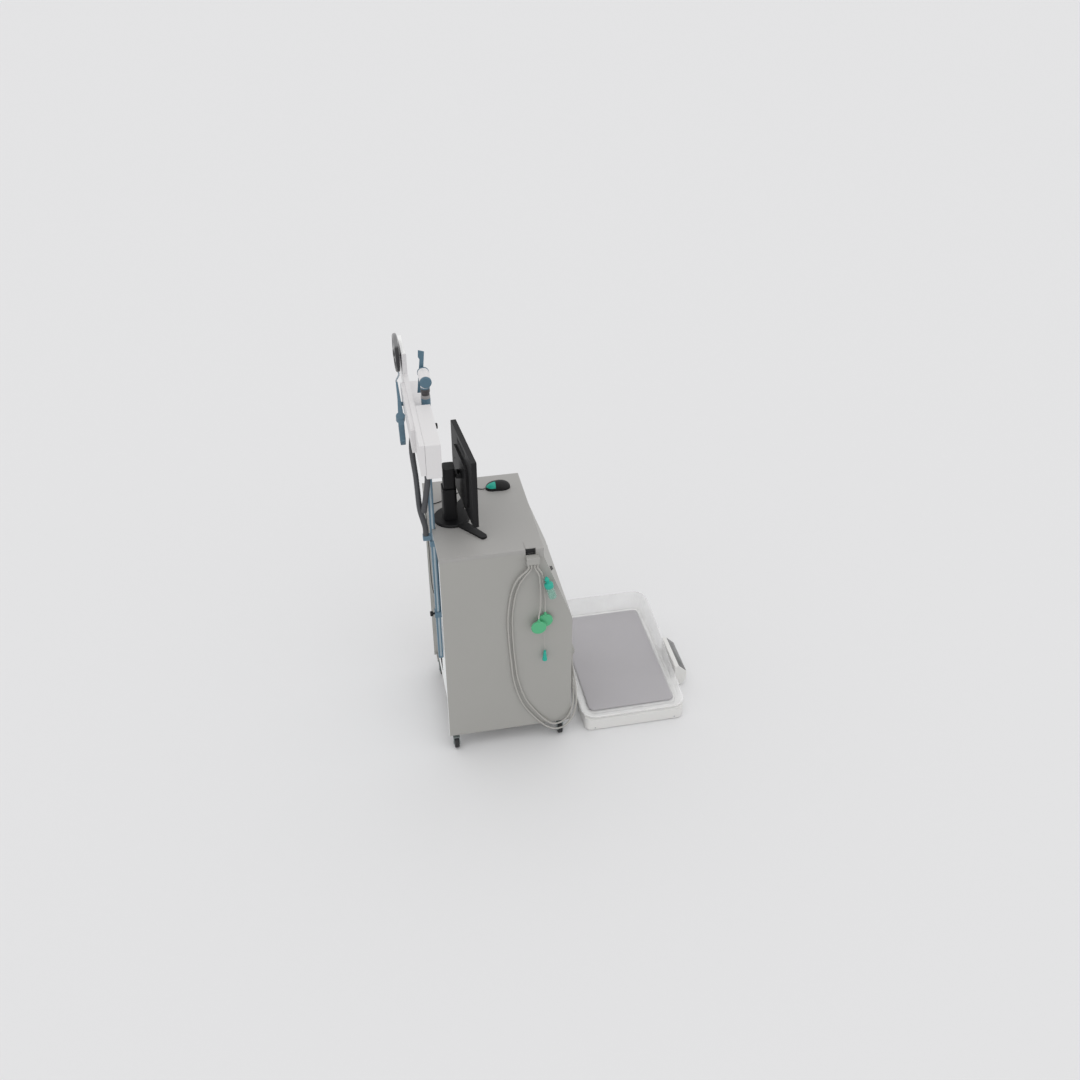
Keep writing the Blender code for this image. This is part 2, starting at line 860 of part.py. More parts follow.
def handpiece():
    blue = material("slate_blue", (0.10, 0.17, 0.23), 0.45)
    black = material("mask_black", (0.015, 0.015, 0.017), 0.25)
    grey = material("mask_grey", (0.16, 0.16, 0.17), 0.25)
    face = housing_back + 2 * clearance + rail_thickness
    start = Vector((handle_start[0], 0, handle_start[1]))
    along = Vector((handle_end[0] - handle_start[0], 0, handle_end[1] - handle_start[1]))
    length = along.length
    along.normalize()
    across = along.cross(Vector((0, 1, 0)))
    pivot("handpiece", (handle_start[0], face + 0.02, handle_start[1]), "arm")
    stations = (
        (0.0, 0.0670, 0.0745),
        (0.25, 0.0650, 0.0770),
        (0.48, 0.0630, 0.0830),
        (0.68, 0.0640, 0.0890),
        (0.80, 0.0660, 0.0890),
        (1.0, 0.0690, 0.0905),
    )
    outline = [(share * length, low) for share, low, high in stations]
    outline += [(share * length, high) for share, low, high in reversed(stations)]
    mesh = outline_mesh("handpiece", outline, 2 * handle_half)
    frame = Matrix((along, (0, 1, 0), across)).transposed().to_4x4()
    mesh.transform(frame)
    handle = add("handpiece", mesh, blue, start, "handpiece")
    soften(handle, 0.003, 2, 50)
    lobe_place = start + along * length * 0.58 + Vector((0, handle_middle, 0))
    lobe = rod_cutter("handle_lobe", lobe_radius, 2 * handle_half + 0.002, lobe_place, across)
    cut(handle, lobe, "UNION")
    seat = cradle_back + clearance
    peg_length = 0.068 - seat
    peg_place = start + along * length * 0.35 + Vector((0, seat + peg_length / 2, 0))
    cut(handle, rod_cutter("handle_peg", 0.009, peg_length, peg_place, (0, 1, 0)), "UNION")

    ring = 0.085
    tip = Vector((mask_centre[0], 0, mask_centre[1]))
    mask_y = face + 0.017
    cushion = [
        (ring - 0.006, 0.010),
        (ring, 0.004),
        (ring, -0.004),
        (ring - 0.006, -0.010),
        (ring - 0.018, -0.010),
        (ring - 0.022, -0.004),
        (ring - 0.022, 0.004),
        (ring - 0.018, 0.010),
    ]
    turned("mask_cushion", cushion, (tip.x, mask_y, tip.z), black, "handpiece", (0, 1, 0), 40)
    inner = ring - 0.022 - clearance
    dome = [
        (0, 0.014),
        (0.018, 0.014),
        (0.018, 0.010),
        (0.035, 0.007),
        (inner, 0.003),
        (inner, -0.003),
        (0.035, 0.001),
        (0.010, 0.003),
        (0, 0.003),
    ]
    turned("mask_dome", dome, (tip.x, mask_y, tip.z), grey, "handpiece", (0, 1, 0), 40)


def mask_stem():
    clear = material("clear_tube", (0.70, 0.72, 0.74), 0.2)
    tip = Vector((handle_start[0], 0.0708, handle_start[1]))
    rim = Vector((mask_centre[0], 0.058, mask_centre[1]))
    way = Vector((rim.x - tip.x, 0, rim.z - tip.z)).normalized()
    handle_way = Vector((handle_start[0] - handle_end[0], 0, handle_start[1] - handle_end[1])).normalized()
    low = tip + handle_way * 3 * clearance
    high = rim - way * (0.085 + 2 * clearance)
    mesh = cord_mesh("mask_stem", (low, low + handle_way * 0.016, high - way * 0.014, high), 0.0035, 1, 3)
    add("mask_stem", mesh, clear, (0, 0, 0), "handpiece")


def hoses():
    dark = material("hose_grey", (0.09, 0.09, 0.10), 0.5)
    for name, route in zip(("patient_hose", "branch_hose"), hose_routes):
        add(name, cord_mesh(name, route, hose_radius, 1.2, 3), dark, (0, 0, 0), "arm")


# --- monitor -------------------------------------------------------------------
def monitor():
    black = material("monitor_black", (0.012, 0.012, 0.013), 0.4)
    base_low = top_level + clearance
    base_top = base_low + base_thickness
    pivot("monitor_turn", (column_side, column_front, base_top))
    base = turned(
        "monitor_base",
        [
            (0, base_thickness),
            (base_radius - 0.004, base_thickness),
            (base_radius, base_thickness - 0.005),
            (base_radius, 0),
            (0, 0),
        ],
        (column_side, column_front - base_forward, base_low),
        black,
        steps=36,
    )
    for side in (-1, 1):
        foot = Vector((column_side + side * 0.172, column_front - 0.118))
        way = foot - Vector((column_side, column_front))
        reach = way.length
        angle = math.atan2(way.y, way.x)
        outline = [(0.0, -0.030), (reach * 0.55, -0.020), (reach, -0.015), (reach + 0.009, -0.009)]
        outline += [(x, -y) for x, y in reversed(outline)]
        mesh = outline_mesh(f"leg_{side}", outline, base_thickness - 0.002)
        turn = Matrix.Rotation(angle, 4, "Z")
        place = Matrix.Translation(Vector((column_side, column_front, base_low + base_thickness / 2 - 0.001)) + shift)
        cut(base, cutter(f"leg_{side}", mesh, place @ turn), "UNION")

    sleeve_low = base_top + clearance
    sleeve_top = sleeve_low + sleeve_height
    wall = 0.006
    hole_width = sleeve_width - 2 * wall
    hole_depth = sleeve_depth - 2 * wall
    outline = rounded_rectangle((column_side, column_front), sleeve_width, sleeve_depth, 0.012, 4)
    sleeve = outline_z("stand_sleeve", outline, sleeve_low, sleeve_top, black, "monitor_turn")
    well = cutter(
        "sleeve_well",
        outline_mesh(
            "sleeve_well",
            rounded_rectangle((column_side, column_front), hole_width, hole_depth, 0.007, 4),
            sleeve_height,
        ),
        Matrix.Translation(Vector((0, 0, sleeve_low + 0.006 + sleeve_height / 2)) + shift),
    )
    cut(sleeve, well)

    pivot("monitor_rise", (column_side, column_front, sleeve_top), "monitor_turn")
    tilt = (column_side, column_front - tilt_forward, screen_bottom + screen_height / 2)
    fit = 0.0005
    slider_low = sleeve_low + 0.008
    slider_top = tilt[2] + 0.043
    slider_outline = rounded_rectangle(
        (column_side, column_front), hole_width - 2 * fit, hole_depth - 2 * fit, 0.0065, 4
    )
    slider = outline_z("stand_slider", slider_outline, slider_low, slider_top, black, "monitor_rise")
    head = cutter(
        "slider_head",
        outline_mesh(
            "slider_head",
            rounded_rectangle(
                (column_side, column_front - head_forward), sleeve_width - 0.006, head_depth, 0.010, 4
            ),
            0.092,
        ),
        Matrix.Translation(Vector((0, 0, slider_top - 0.045)) + shift),
    )
    cut(slider, head, "UNION")
    ear = rod_cutter("tilt_ear", tilt_radius, 2 * tilt_half, tilt, (1, 0, 0))
    cut(slider, ear, "UNION")
    neck = box_cutter(
        "tilt_neck",
        (tilt[0] - tilt_half, tilt[1], tilt[2] - tilt_radius * 0.8),
        (tilt[0] + tilt_half, column_front - head_forward - head_depth / 2 + 0.004, tilt[2] + tilt_radius * 0.8),
    )
    cut(slider, neck, "UNION")

    pivot("monitor_tilt", tilt, "monitor_rise")
    turn = Matrix.Rotation(screen_yaw, 4, "Z")
    centre = Vector((column_side, column_front - screen_forward, tilt[2]))

    def on_screen(obj, offset):
        put(obj, centre + turn @ Vector(offset), "monitor_tilt")
        obj.rotation_euler = (0, 0, screen_yaw)
        return obj

    shell_depth = 0.016
    shell = add("monitor_back", outline_mesh(
        "monitor_back", rounded_rectangle((0, 0), screen_width, screen_height, 0.004, 2), shell_depth
    ), black)
    shell.data.transform(Matrix.Rotation(math.radians(90), 4, "X"))
    on_screen(shell, (0, 0, 0))
    bulge = outline_mesh("bulge", rounded_rectangle((0, -0.01), 0.230, 0.200, 0.030, 5), 0.014)
    bulge.transform(Matrix.Rotation(math.radians(90), 4, "X"))
    bulge_place = Matrix.Translation(centre + turn @ Vector((0, 0.011, 0)) + shift) @ turn
    cut(shell, cutter("monitor_bulge", bulge, bulge_place), "UNION")
    for side in (-1, 1):
        inner = side * (tilt_half + clearance)
        outer = side * (tilt_half + clearance + 0.007)
        yoke = box_cutter(
            f"yoke_{side}",
            (tilt[0] + min(inner, outer), centre.y + 0.012, tilt[2] - tilt_radius),
            (tilt[0] + max(inner, outer), tilt[1], tilt[2] + tilt_radius),
        )
        cut(shell, yoke, "UNION")
        middle = (tilt[0] + (inner + outer) / 2, tilt[1], tilt[2])
        cut(shell, rod_cutter(f"yoke_end_{side}", tilt_radius, 0.007, middle, (1, 0, 0)), "UNION")

    bezel_depth = 0.006
    bezel = add("monitor_front", outline_mesh(
        "monitor_front", rounded_rectangle((0, 0), screen_width, screen_height, 0.004, 2), bezel_depth
    ), black)
    bezel.data.transform(Matrix.Rotation(math.radians(90), 4, "X"))
    bezel_y = -shell_depth / 2 - clearance - bezel_depth / 2
    on_screen(bezel, (0, bezel_y, 0))
    window_width = screen_width - 0.030
    window_height = screen_height - 0.036
    window = box_mesh("screen_window", (window_width, bezel_depth, window_height))
    window_y = bezel_y - bezel_depth + 0.0015
    window_place = Matrix.Translation(centre + turn @ Vector((0, window_y, 0.003)) + shift) @ turn
    cut(bezel, cutter("screen_window", window, window_place))


# --- mouse ---------------------------------------------------------------------
def mouse():
    black = material("mouse_black", (0.03, 0.03, 0.032), 0.5)
    teal = material("teal", (0.03, 0.42, 0.33), 0.45)
    low = top_level + clearance
    place = Vector((mouse_side, mouse_front, low))
    pivot("mouse", place)
    hinge_y = mouse_front + 0.012
    pivot("mouse_left", (mouse_side, hinge_y, low + mouse_height * 0.9), "mouse")
    pivot("mouse_right", (mouse_side, hinge_y, low + mouse_height * 0.9), "mouse")

    def form(name, paint, parent):
        shape = bmesh.new()
        bmesh.ops.create_uvsphere(shape, u_segments=24, v_segments=14, radius=1.0)
        bmesh.ops.bisect_plane(
            shape,
            geom=shape.verts[:] + shape.edges[:] + shape.faces[:],
            plane_co=(0, 0, 0),
            plane_no=(0, 0, 1),
            clear_inner=True,
            dist=0.0001,
        )
        bmesh.ops.holes_fill(shape, edges=shape.edges)
        for vertex in shape.verts:
            x, y, z = vertex.co
            waist = 1.0 - 0.16 * math.exp(-((y - 0.15) / 0.35) ** 2)
            vertex.co = (
                math.copysign(abs(x) ** 0.85, x) * mouse_width / 2 * waist,
                y * mouse_length / 2,
                (abs(z) ** 0.8) * mouse_height,
            )
        bmesh.ops.recalc_face_normals(shape, faces=shape.faces)
        mesh = bpy.data.meshes.new(name)
        shape.to_mesh(mesh)
        shape.free()
        smooth(mesh, 50)
        return add(name, mesh, paint, place, parent)

    shell = form("mouse_shell", black, "mouse")
    split = low + 0.012
    far = mouse_front + mouse_length
    recess = box_cutter(
        "button_recess",
        (mouse_side - mouse_width, hinge_y, split),
        (mouse_side + mouse_width, far, low + 0.1),
    )
    cut(shell, recess)
    gap = 0.0012
    for name, paint, side in (("mouse_left", teal, -1), ("mouse_right", black, 1)):
        button = form(name + "_button", paint, name)
        inner = mouse_side + side * 0.0006
        outer = mouse_side + side * mouse_width
        keep = box_cutter(
            name + "_keep",
            (min(inner, outer), hinge_y + 0.0006, split + gap),
            (max(inner, outer), far, low + 0.1),
        )
        cut(button, keep, "INTERSECT")
    mesh = cord_mesh("mouse_cable", mouse_cable_route, mouse_cable_radius, 3.4, 1)
    add("mouse_cable", mesh, black)


# --- hoses and fittings on the cabinet's side ----------------------------------
def side_fittings():
    grey = material("cabinet_grey", (0.33, 0.33, 0.31), 0.45)
    beige = material("tube_beige", (0.46, 0.45, 0.42), 0.5)
    green = material("filter_green", (0.10, 0.40, 0.20), 0.5)
    teal = material("teal", (0.03, 0.42, 0.33), 0.45)
    clear = material("clear_cup", (0.55, 0.66, 0.64), 0.1)
    outer = -half_width
    holder_top = top_level - notch_height - 0.001
    box(
        "hose_holder",
        (outer - holder_reach, -notch_back - 0.0545, holder_top - holder_height),
        (outer - clearance, -notch_back - 0.0005, holder_top),
        grey,
        bevel=0.001,
        segments=1,
    )
    for name, route in zip(("long_tube_outer", "long_tube_inner"), long_tube_routes):
        add(name, cord_mesh(name, route, long_tube_radius, 3.4, 2), beige)
    for name, route in zip(("short_tube_near", "short_tube_far"), short_tube_routes):
        add(name, cord_mesh(name, route, short_tube_radius, 3, 2), beige)
    half = disc_thickness / 2
    disc_profile = [
        (0, half),
        (disc_radius - 0.003, half),
        (disc_radius, half - 0.003),
        (disc_radius, -half + 0.003),
        (disc_radius - 0.003, -half),
        (0, -half),
    ]
    for name, place in zip(("filter_disc_near", "filter_disc_far"), disc_places):
        turned(name, disc_profile, place, green, "cart", (-1, 0, 0), 28)
    add("sampling_line", cord_mesh("sampling_line", sampling_route, line_radius, 3, 2), beige)
    turned(
        "line_connector",
        [(0, 0.026), (0.005, 0.026), (0.006, 0.012), (0.011, -0.024), (0.011, -0.028), (0, -0.028)],
        connector_place,
        teal,
        steps=20,
    )

    trap_up = Vector((0, math.sin(trap_lean), math.cos(trap_lean)))
    rim = trap_radius + 0.002
    head = turned(
        "trap_head",
        [
            (0, 0.052),
            (0.005, 0.052),
            (0.011, 0.040),
            (0.007, 0.032),
            (0.007, 0.024),
            (rim - 0.002, 0.018),
            (rim, 0.014),
            (rim, 0),
            (0, 0),
        ],
        trap_place,
        teal,
        towards=trap_up,
        steps=28,
    )
    lug = box_cutter(
        "trap_lug",
        (trap_place[0] + 0.005, trap_place[1] - 0.005, trap_place[2] + 0.003),
        (outer - clearance, trap_place[1] + 0.009, trap_place[2] + 0.011),
    )
    cut(head, lug, "UNION")
    seat = Vector(trap_place) - trap_up * clearance
    pivot("trap_cup", seat)
    cup = [
        (trap_radius, 0),
        (trap_radius, -trap_depth + 0.004),
        (trap_radius - 0.004, -trap_depth),
        (0, -trap_depth),
        (0, -trap_depth + 0.003),
        (trap_radius - 0.005, -trap_depth + 0.003),
        (trap_radius - 0.003, -trap_depth + 0.006),
        (trap_radius - 0.003, 0),
    ]
    turned("trap_cup", cup, seat, clear, "trap_cup", trap_up, 28)


# --- tray scale ----------------------------------------------------------------
def tray_loop(shape, half_x, half_y, radius, level):
    """A rounded rectangle of vertices whose height is given by level(x share, y share)."""
    points = []
    straight = 6
    corners = ((1, 1), (-1, 1), (-1, -1), (1, -1))
    for index, (side, front) in enumerate(corners):
        middle = (side * (half_x - radius), front * (half_y - radius))
        points += corner_arc(middle, radius, index * math.pi / 2, 5)
        next_side, next_front = corners[(index + 1) % 4]
        follow = (next_side * (half_x - radius), next_front * (half_y - radius))
        after = corner_arc(follow, radius, (index + 1) * math.pi / 2, 5)[0]
        last = points[-1]
        for step in range(1, straight):
            share = step / straight
            points.append((last[0] + (after[0] - last[0]) * share, last[1] + (after[1] - last[1]) * share))
    return [shape.verts.new((x, y, level(x / half_x, y / half_y))) for x, y in points]


def scale():
    white = material("scale_white", (0.80, 0.80, 0.79), 0.45)
    shell = material("tray_white", (0.86, 0.86, 0.87), 0.3)
    soft = material("mat_grey", (0.38, 0.37, 0.39), 0.85)
    centre = Vector((scale_side, scale_centre_y, 0))
    pivot("scale", centre)
    base_low = foot_height + clearance
    base_top = base_low + scale_height
    outline = rounded_rectangle((0, 0), scale_length, scale_width, 0.030, 5)
    base = add("scale_base", outline_mesh("scale_base", outline, scale_height), white)
    put(base, (centre.x, centre.y, base_low + scale_height / 2), "scale")
    for side in (-1, 1):
        for front in (-1, 1):
            foot = rod_cutter(
                f"scale_foot_{side}_{front}",
                0.016,
                foot_height + 0.001,
                (
                    centre.x + side * (scale_length / 2 - 0.045),
                    centre.y + front * (scale_width / 2 - 0.045),
                    (foot_height + 0.001) / 2,
                ),
                (0, 0, 1),
            )
            cut(base, foot, "UNION")

    seat = base_top + clearance
    pivot("tray", (centre.x, centre.y, seat), "scale")
    tray = bmesh.new()
    half_x = scale_length / 2 + tray_flare / 2
    half_y = scale_width / 2 + tray_flare

    def rim(x, y):
        share = min(1.0, max(0.0, (x + 1.0) / 1.75))
        eased = share * share * (3 - 2 * share)
        return tray_low + (tray_high - tray_low) * eased

    floor_level = 0.0
    loops = [
        tray_loop(tray, half_x - 0.040, half_y - 0.040, 0.034, lambda x, y: floor_level),
        tray_loop(tray, half_x - 0.032, half_y - 0.032, 0.040, lambda x, y: 0.004),
        tray_loop(tray, half_x - 0.025, half_y - 0.023, 0.046, lambda x, y: 0.25 * rim(x, y) + 0.004),
        tray_loop(tray, half_x - 0.009, half_y - 0.010, 0.060, lambda x, y: 0.85 * rim(x, y) + 0.001),
        tray_loop(tray, half_x - 0.004, half_y - 0.005, 0.064, lambda x, y: rim(x, y) + 0.001),
        tray_loop(tray, half_x, half_y, 0.068, lambda x, y: 0.96 * rim(x, y)),
    ]
    tray.faces.new(loops[0])
    for inner, outer in zip(loops, loops[1:]):
        count = len(inner)
        for index in range(count):
            following = (index + 1) % count
            tray.faces.new((inner[index], outer[index], outer[following], inner[following]))
    bmesh.ops.recalc_face_normals(tray, faces=tray.faces)
    if tray.faces[0].normal.z < 0:
        bmesh.ops.reverse_faces(tray, faces=tray.faces)
    mesh = bpy.data.meshes.new("scale_tray")
    tray.to_mesh(mesh)
    tray.free()
    smooth(mesh, 50)
    tray_object = add("scale_tray", mesh, shell, (centre.x + tray_flare / 2, centre.y, seat + tray_wall), "tray")
    thick = tray_object.modifiers.new("wall", "SOLIDIFY")
    thick.thickness = tray_wall
    thick.offset = -1.0

    mat_low = seat + tray_wall + clearance
    mat = rounded_rectangle((centre.x + 0.010, centre.y + 0.003), 2 * half_x - 0.102, 2 * half_y - 0.088, 0.026, 5)
    outline_z("tray_mat", mat, mat_low, mat_low + mat_thickness, soft, "tray")

    front = scale_front - clearance
    reach = display_reach - clearance
    wedge = [
        (front, base_low + 0.004),
        (front - reach * 0.75, base_low + 0.004),
        (front - reach, base_low + 0.034),
        (front - reach, display_edge),
        (front - 0.034, display_top),
        (front - tray_flare - 0.002, display_top),
        (front - tray_flare - 0.002, base_low + 0.056),
        (front, base_low + 0.050),
    ]
    housing = outline_x(
        "display_housing",
        wedge,
        display_side - display_length / 2,
        display_side + display_length / 2,
        white,
        "scale",
    )
    soften(housing, 0.002, 1)


# --- routes and places of the hoses --------------------------------------------
cable_exit = Vector((-0.020, -back_recess, 0.690))
hose_ports = (-half_width + panel + 0.012, -half_width + panel + 0.026)
port_level = 0.468
handle_start = (0.366, 1.555)
handle_end = (0.106, 1.412)
mask_centre = (0.455, 1.655)
connector_place = (-half_width - 0.017, -0.4365, 0.516)
trap_place = (-half_width - trap_reach, -0.451, 0.910)
disc_places = ((-half_width - 0.032, -0.4068, 0.690), (-half_width - 0.014, -0.4386, 0.7105))


def side_point(depth, level, reach):
    """A point beside the cabinet: depth from the back, level above the floor."""
    return (-half_width - reach, -depth, level)


long_tube_routes = []
short_tube_routes = []
sampling_route = []
mouse_cable_route = []
hose_routes = []


def set_routes():
    exit_level = top_level - notch_height - 0.001 - holder_height - 2 * clearance
    near = 0.0065
    front = -bottom_depth - 0.0085
    port_end = port_level - 2 * clearance
    long_tube_routes.extend([
        [
            side_point(0.366, exit_level, 0.018),
            side_point(0.366, exit_level - 0.026, 0.018),
            side_point(0.335, 0.965, 0.014),
            side_point(0.308, 0.922, 0.012),
            side_point(0.290, 0.850, near),
            side_point(0.278, 0.740, near),
            side_point(0.280, 0.620, near),
            side_point(0.288, 0.500, near),
            side_point(0.300, 0.370, near),
            side_point(0.336, 0.235, near),
            side_point(0.400, 0.125, near),
            side_point(0.462, 0.062, near + 0.006),
            side_point(0.517, 0.054, near + 0.008),
            side_point(0.562, 0.098, near + 0.006),
            side_point(0.584, 0.170, near + 0.001),
            (-half_width + 0.003, -0.5875, 0.235),
            (-half_width + 0.015, -0.5830, 0.300),
            (-half_width + 0.026, -0.5750, 0.370),
            (hose_ports[0], front, 0.425),
            (hose_ports[0], front, port_end - 0.022),
            (hose_ports[0], front, port_end),
        ],
        [
            side_point(0.378, exit_level, 0.018),
            side_point(0.378, exit_level - 0.026, 0.018),
            side_point(0.351, 0.958, 0.014),
            side_point(0.326, 0.912, 0.012),
            side_point(0.308, 0.840, near),
            side_point(0.297, 0.740, near),
            side_point(0.298, 0.620, near),
            side_point(0.305, 0.500, near),
            side_point(0.318, 0.380, near),
            side_point(0.352, 0.255, near),
            side_point(0.412, 0.150, near),
            side_point(0.466, 0.090, near + 0.005),
            side_point(0.512, 0.086, near + 0.006),
            side_point(0.550, 0.122, near + 0.004),
            side_point(0.571, 0.185, near - 0.003),
            (-half_width + 0.010, -0.5760, 0.245),
            (-half_width + 0.026, -0.5735, 0.310),
            (-half_width + 0.039, -0.5715, 0.370),
            (hose_ports[1], front, 0.425),
            (hose_ports[1], front, port_end - 0.022),
            (hose_ports[1], front, port_end),
        ],
    ])
    disc_edge = disc_places[0][2] + disc_radius
    short_tube_routes.extend([
        [
            side_point(0.394, exit_level, 0.018),
            side_point(0.394, exit_level - 0.024, 0.018),
            side_point(0.410, 0.965, 0.022),
            side_point(0.416, 0.900, 0.026),
            side_point(0.416, 0.820, 0.030),
            side_point(0.411, 0.775, 0.032),
            side_point(0.4068, disc_edge + 0.024, 0.032),
            side_point(0.4068, disc_edge + 2 * clearance, 0.032),
        ],
        [
            side_point(0.406, exit_level, 0.018),
            side_point(0.406, exit_level - 0.024, 0.018),
            side_point(0.424, 0.965, 0.016),
            side_point(0.432, 0.900, 0.014),
            side_point(0.437, 0.830, 0.014),
            side_point(0.4386, disc_places[1][2] + disc_radius + 0.024, 0.014),
            side_point(0.4386, disc_places[1][2] + disc_radius + 2 * clearance, 0.014),
        ],
    ])
    disc_foot = disc_places[1][2] - disc_radius - clearance
    sampling_route.extend([
        side_point(0.4386, disc_foot, 0.014),
        side_point(0.4386, disc_foot - 0.010, 0.0145),
        side_point(0.436, 0.630, 0.016),
        side_point(0.4345, 0.590, 0.017),
        side_point(0.4365, 0.555, 0.017),
        side_point(0.4365, 0.516 + 0.026 + clearance, 0.017),
    ])
    table = top_level + mouse_cable_radius + 0.0006
    nose = mouse_front + mouse_length / 2
    mouse_cable_route.extend([
        (mouse_side, nose + 0.001, table + 0.001),
        (mouse_side, nose + 0.014, table),
        (mouse_side + 0.006, nose + 0.030, table),
        (mouse_side + 0.017, nose + 0.048, table),
        (mouse_side + 0.019, nose + 0.070, table),
        (0.195, -0.165, table),
        (0.165, -0.120, table),
        (0.140, -0.080, table),
        (0.122, -0.045, table),
        (0.117, -0.014, table),
        (0.116, 0.000, table + 0.0010),
        (0.116, 0.0065, table - 0.0010),
        (0.116, 0.0095, table - 0.0080),
        (0.116, 0.0090, table - 0.0200),
        (0.114, 0.0055, 1.020),
        (0.112, 0.005, 0.930),
        (0.104, 0.004, 0.850),
        (0.075, 0.006, 0.775),
        (0.035, 0.008, 0.722),
        (cable_exit.x + 0.016, 0.006, cable_exit.z + 0.010),
        (cable_exit.x + 0.003, -0.001, cable_exit.z + 0.001),
        (cable_exit.x, -0.009, cable_exit.z),
        (cable_exit.x, -back_recess + 2 * clearance, cable_exit.z),
    ])
    clip_top = clip_level + clip_height
    clip_y = mast_back + mast_size / 2 + hose_radius + clip_gap
    slope = Vector((arm_far - arm_near, 0, 0.06)).normalized()
    leaving = Vector((slope.z, 0, -slope.x))
    behind_housing = housing_back + hose_radius + 0.001
    start = Vector((arm_near, behind_housing, arm_bottom + rail_rise)) + slope * 0.370 + leaving * 2 * clearance
    hose_routes.extend([
        [
            start,
            start + leaving * 0.034,
            (0.133, 0.0410, 1.412),
            (0.085, 0.0480, 1.390),
            (0.030, 0.0490, 1.362),
            (-0.010, 0.047, 1.322),
            (-0.042, 0.0465, 1.268),
            (-0.060, 0.044, 1.190),
            (-0.062, 0.033, 1.130),
            (mast_side, clip_y, clip_top + 0.040),
            (mast_side, clip_y, clip_top + 2 * clearance),
        ],
        [
            (-0.086, 0.029, 1.190),
            (-0.088, 0.026, 1.215),
            (-0.093, 0.016, 1.280),
            (-0.096, 0.007, 1.345),
            (-0.096, 0.007, arm_bottom - 0.040),
            (-0.096, 0.007, arm_bottom - clearance),
        ],
    ])


def build():
    global parts, cutters
    clear_scene()
    parts = bpy.data.collections.new("diagnostic_cart")
    cutters = bpy.data.collections.new("cutters")
    bpy.context.scene.collection.children.link(parts)
    bpy.context.scene.collection.children.link(cutters)
    root = pivot("cart", (0, 0, 0), None)
    root.location = shift
    set_routes()
    cabinet()
    door()
    console_controls()
    inside_units()
    casters()
    mast()
    arm()
    flow_head()
    handpiece()
    mask_stem()
    hoses()
    monitor()
    mouse()
    side_fittings()
    scale()
    bpy.context.view_layer.update()


build()
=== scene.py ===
import math

import bmesh
import bpy
from mathutils import Matrix, Vector


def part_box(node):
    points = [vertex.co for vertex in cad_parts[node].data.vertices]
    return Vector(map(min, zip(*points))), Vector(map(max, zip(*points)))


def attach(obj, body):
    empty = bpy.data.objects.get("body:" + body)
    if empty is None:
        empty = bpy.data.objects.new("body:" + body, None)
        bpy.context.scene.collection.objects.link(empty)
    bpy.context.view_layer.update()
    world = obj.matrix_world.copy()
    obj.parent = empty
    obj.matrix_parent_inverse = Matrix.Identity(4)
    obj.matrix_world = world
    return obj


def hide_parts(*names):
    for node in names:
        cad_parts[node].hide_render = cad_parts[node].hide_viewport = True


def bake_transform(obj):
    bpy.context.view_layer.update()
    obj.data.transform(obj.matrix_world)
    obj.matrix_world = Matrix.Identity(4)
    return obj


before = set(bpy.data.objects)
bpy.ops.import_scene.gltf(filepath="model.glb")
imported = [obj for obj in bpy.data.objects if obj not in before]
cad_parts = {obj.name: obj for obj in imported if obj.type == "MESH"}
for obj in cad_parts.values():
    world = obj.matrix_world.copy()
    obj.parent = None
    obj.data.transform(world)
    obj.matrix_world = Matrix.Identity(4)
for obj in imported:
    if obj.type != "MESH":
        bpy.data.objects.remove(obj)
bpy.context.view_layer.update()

# the middle of the cabinet's back, at the floor: routes and places are given from here
topLow, topHigh = (Vector(corner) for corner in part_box("worktop"))
origin = Vector(((topLow.x + topHigh.x) / 2, topHigh.y, 0.0))
halfWidth = (topHigh.x - topLow.x) / 2
topLevel = topHigh.z


def at(x, y, z):
    return origin + Vector((x, y, z))


# shader maths: a socket that adds its own Math nodes
class Value:
    def __init__(self, tree, socket):
        self.tree = tree
        self.socket = socket

    def math(self, operation, first, second):
        node = self.tree.nodes.new("ShaderNodeMath")
        node.operation = operation
        for index, part in enumerate((first, second)):
            if isinstance(part, Value):
                self.tree.links.new(part.socket, node.inputs[index])
            else:
                node.inputs[index].default_value = part
        return Value(self.tree, node.outputs[0])

    def __add__(self, other):
        return self.math("ADD", self, other)

    def __radd__(self, other):
        return self.math("ADD", other, self)

    def __sub__(self, other):
        return self.math("SUBTRACT", self, other)

    def __rsub__(self, other):
        return self.math("SUBTRACT", other, self)

    def __mul__(self, other):
        return self.math("MULTIPLY", self, other)

    def __rmul__(self, other):
        return self.math("MULTIPLY", other, self)


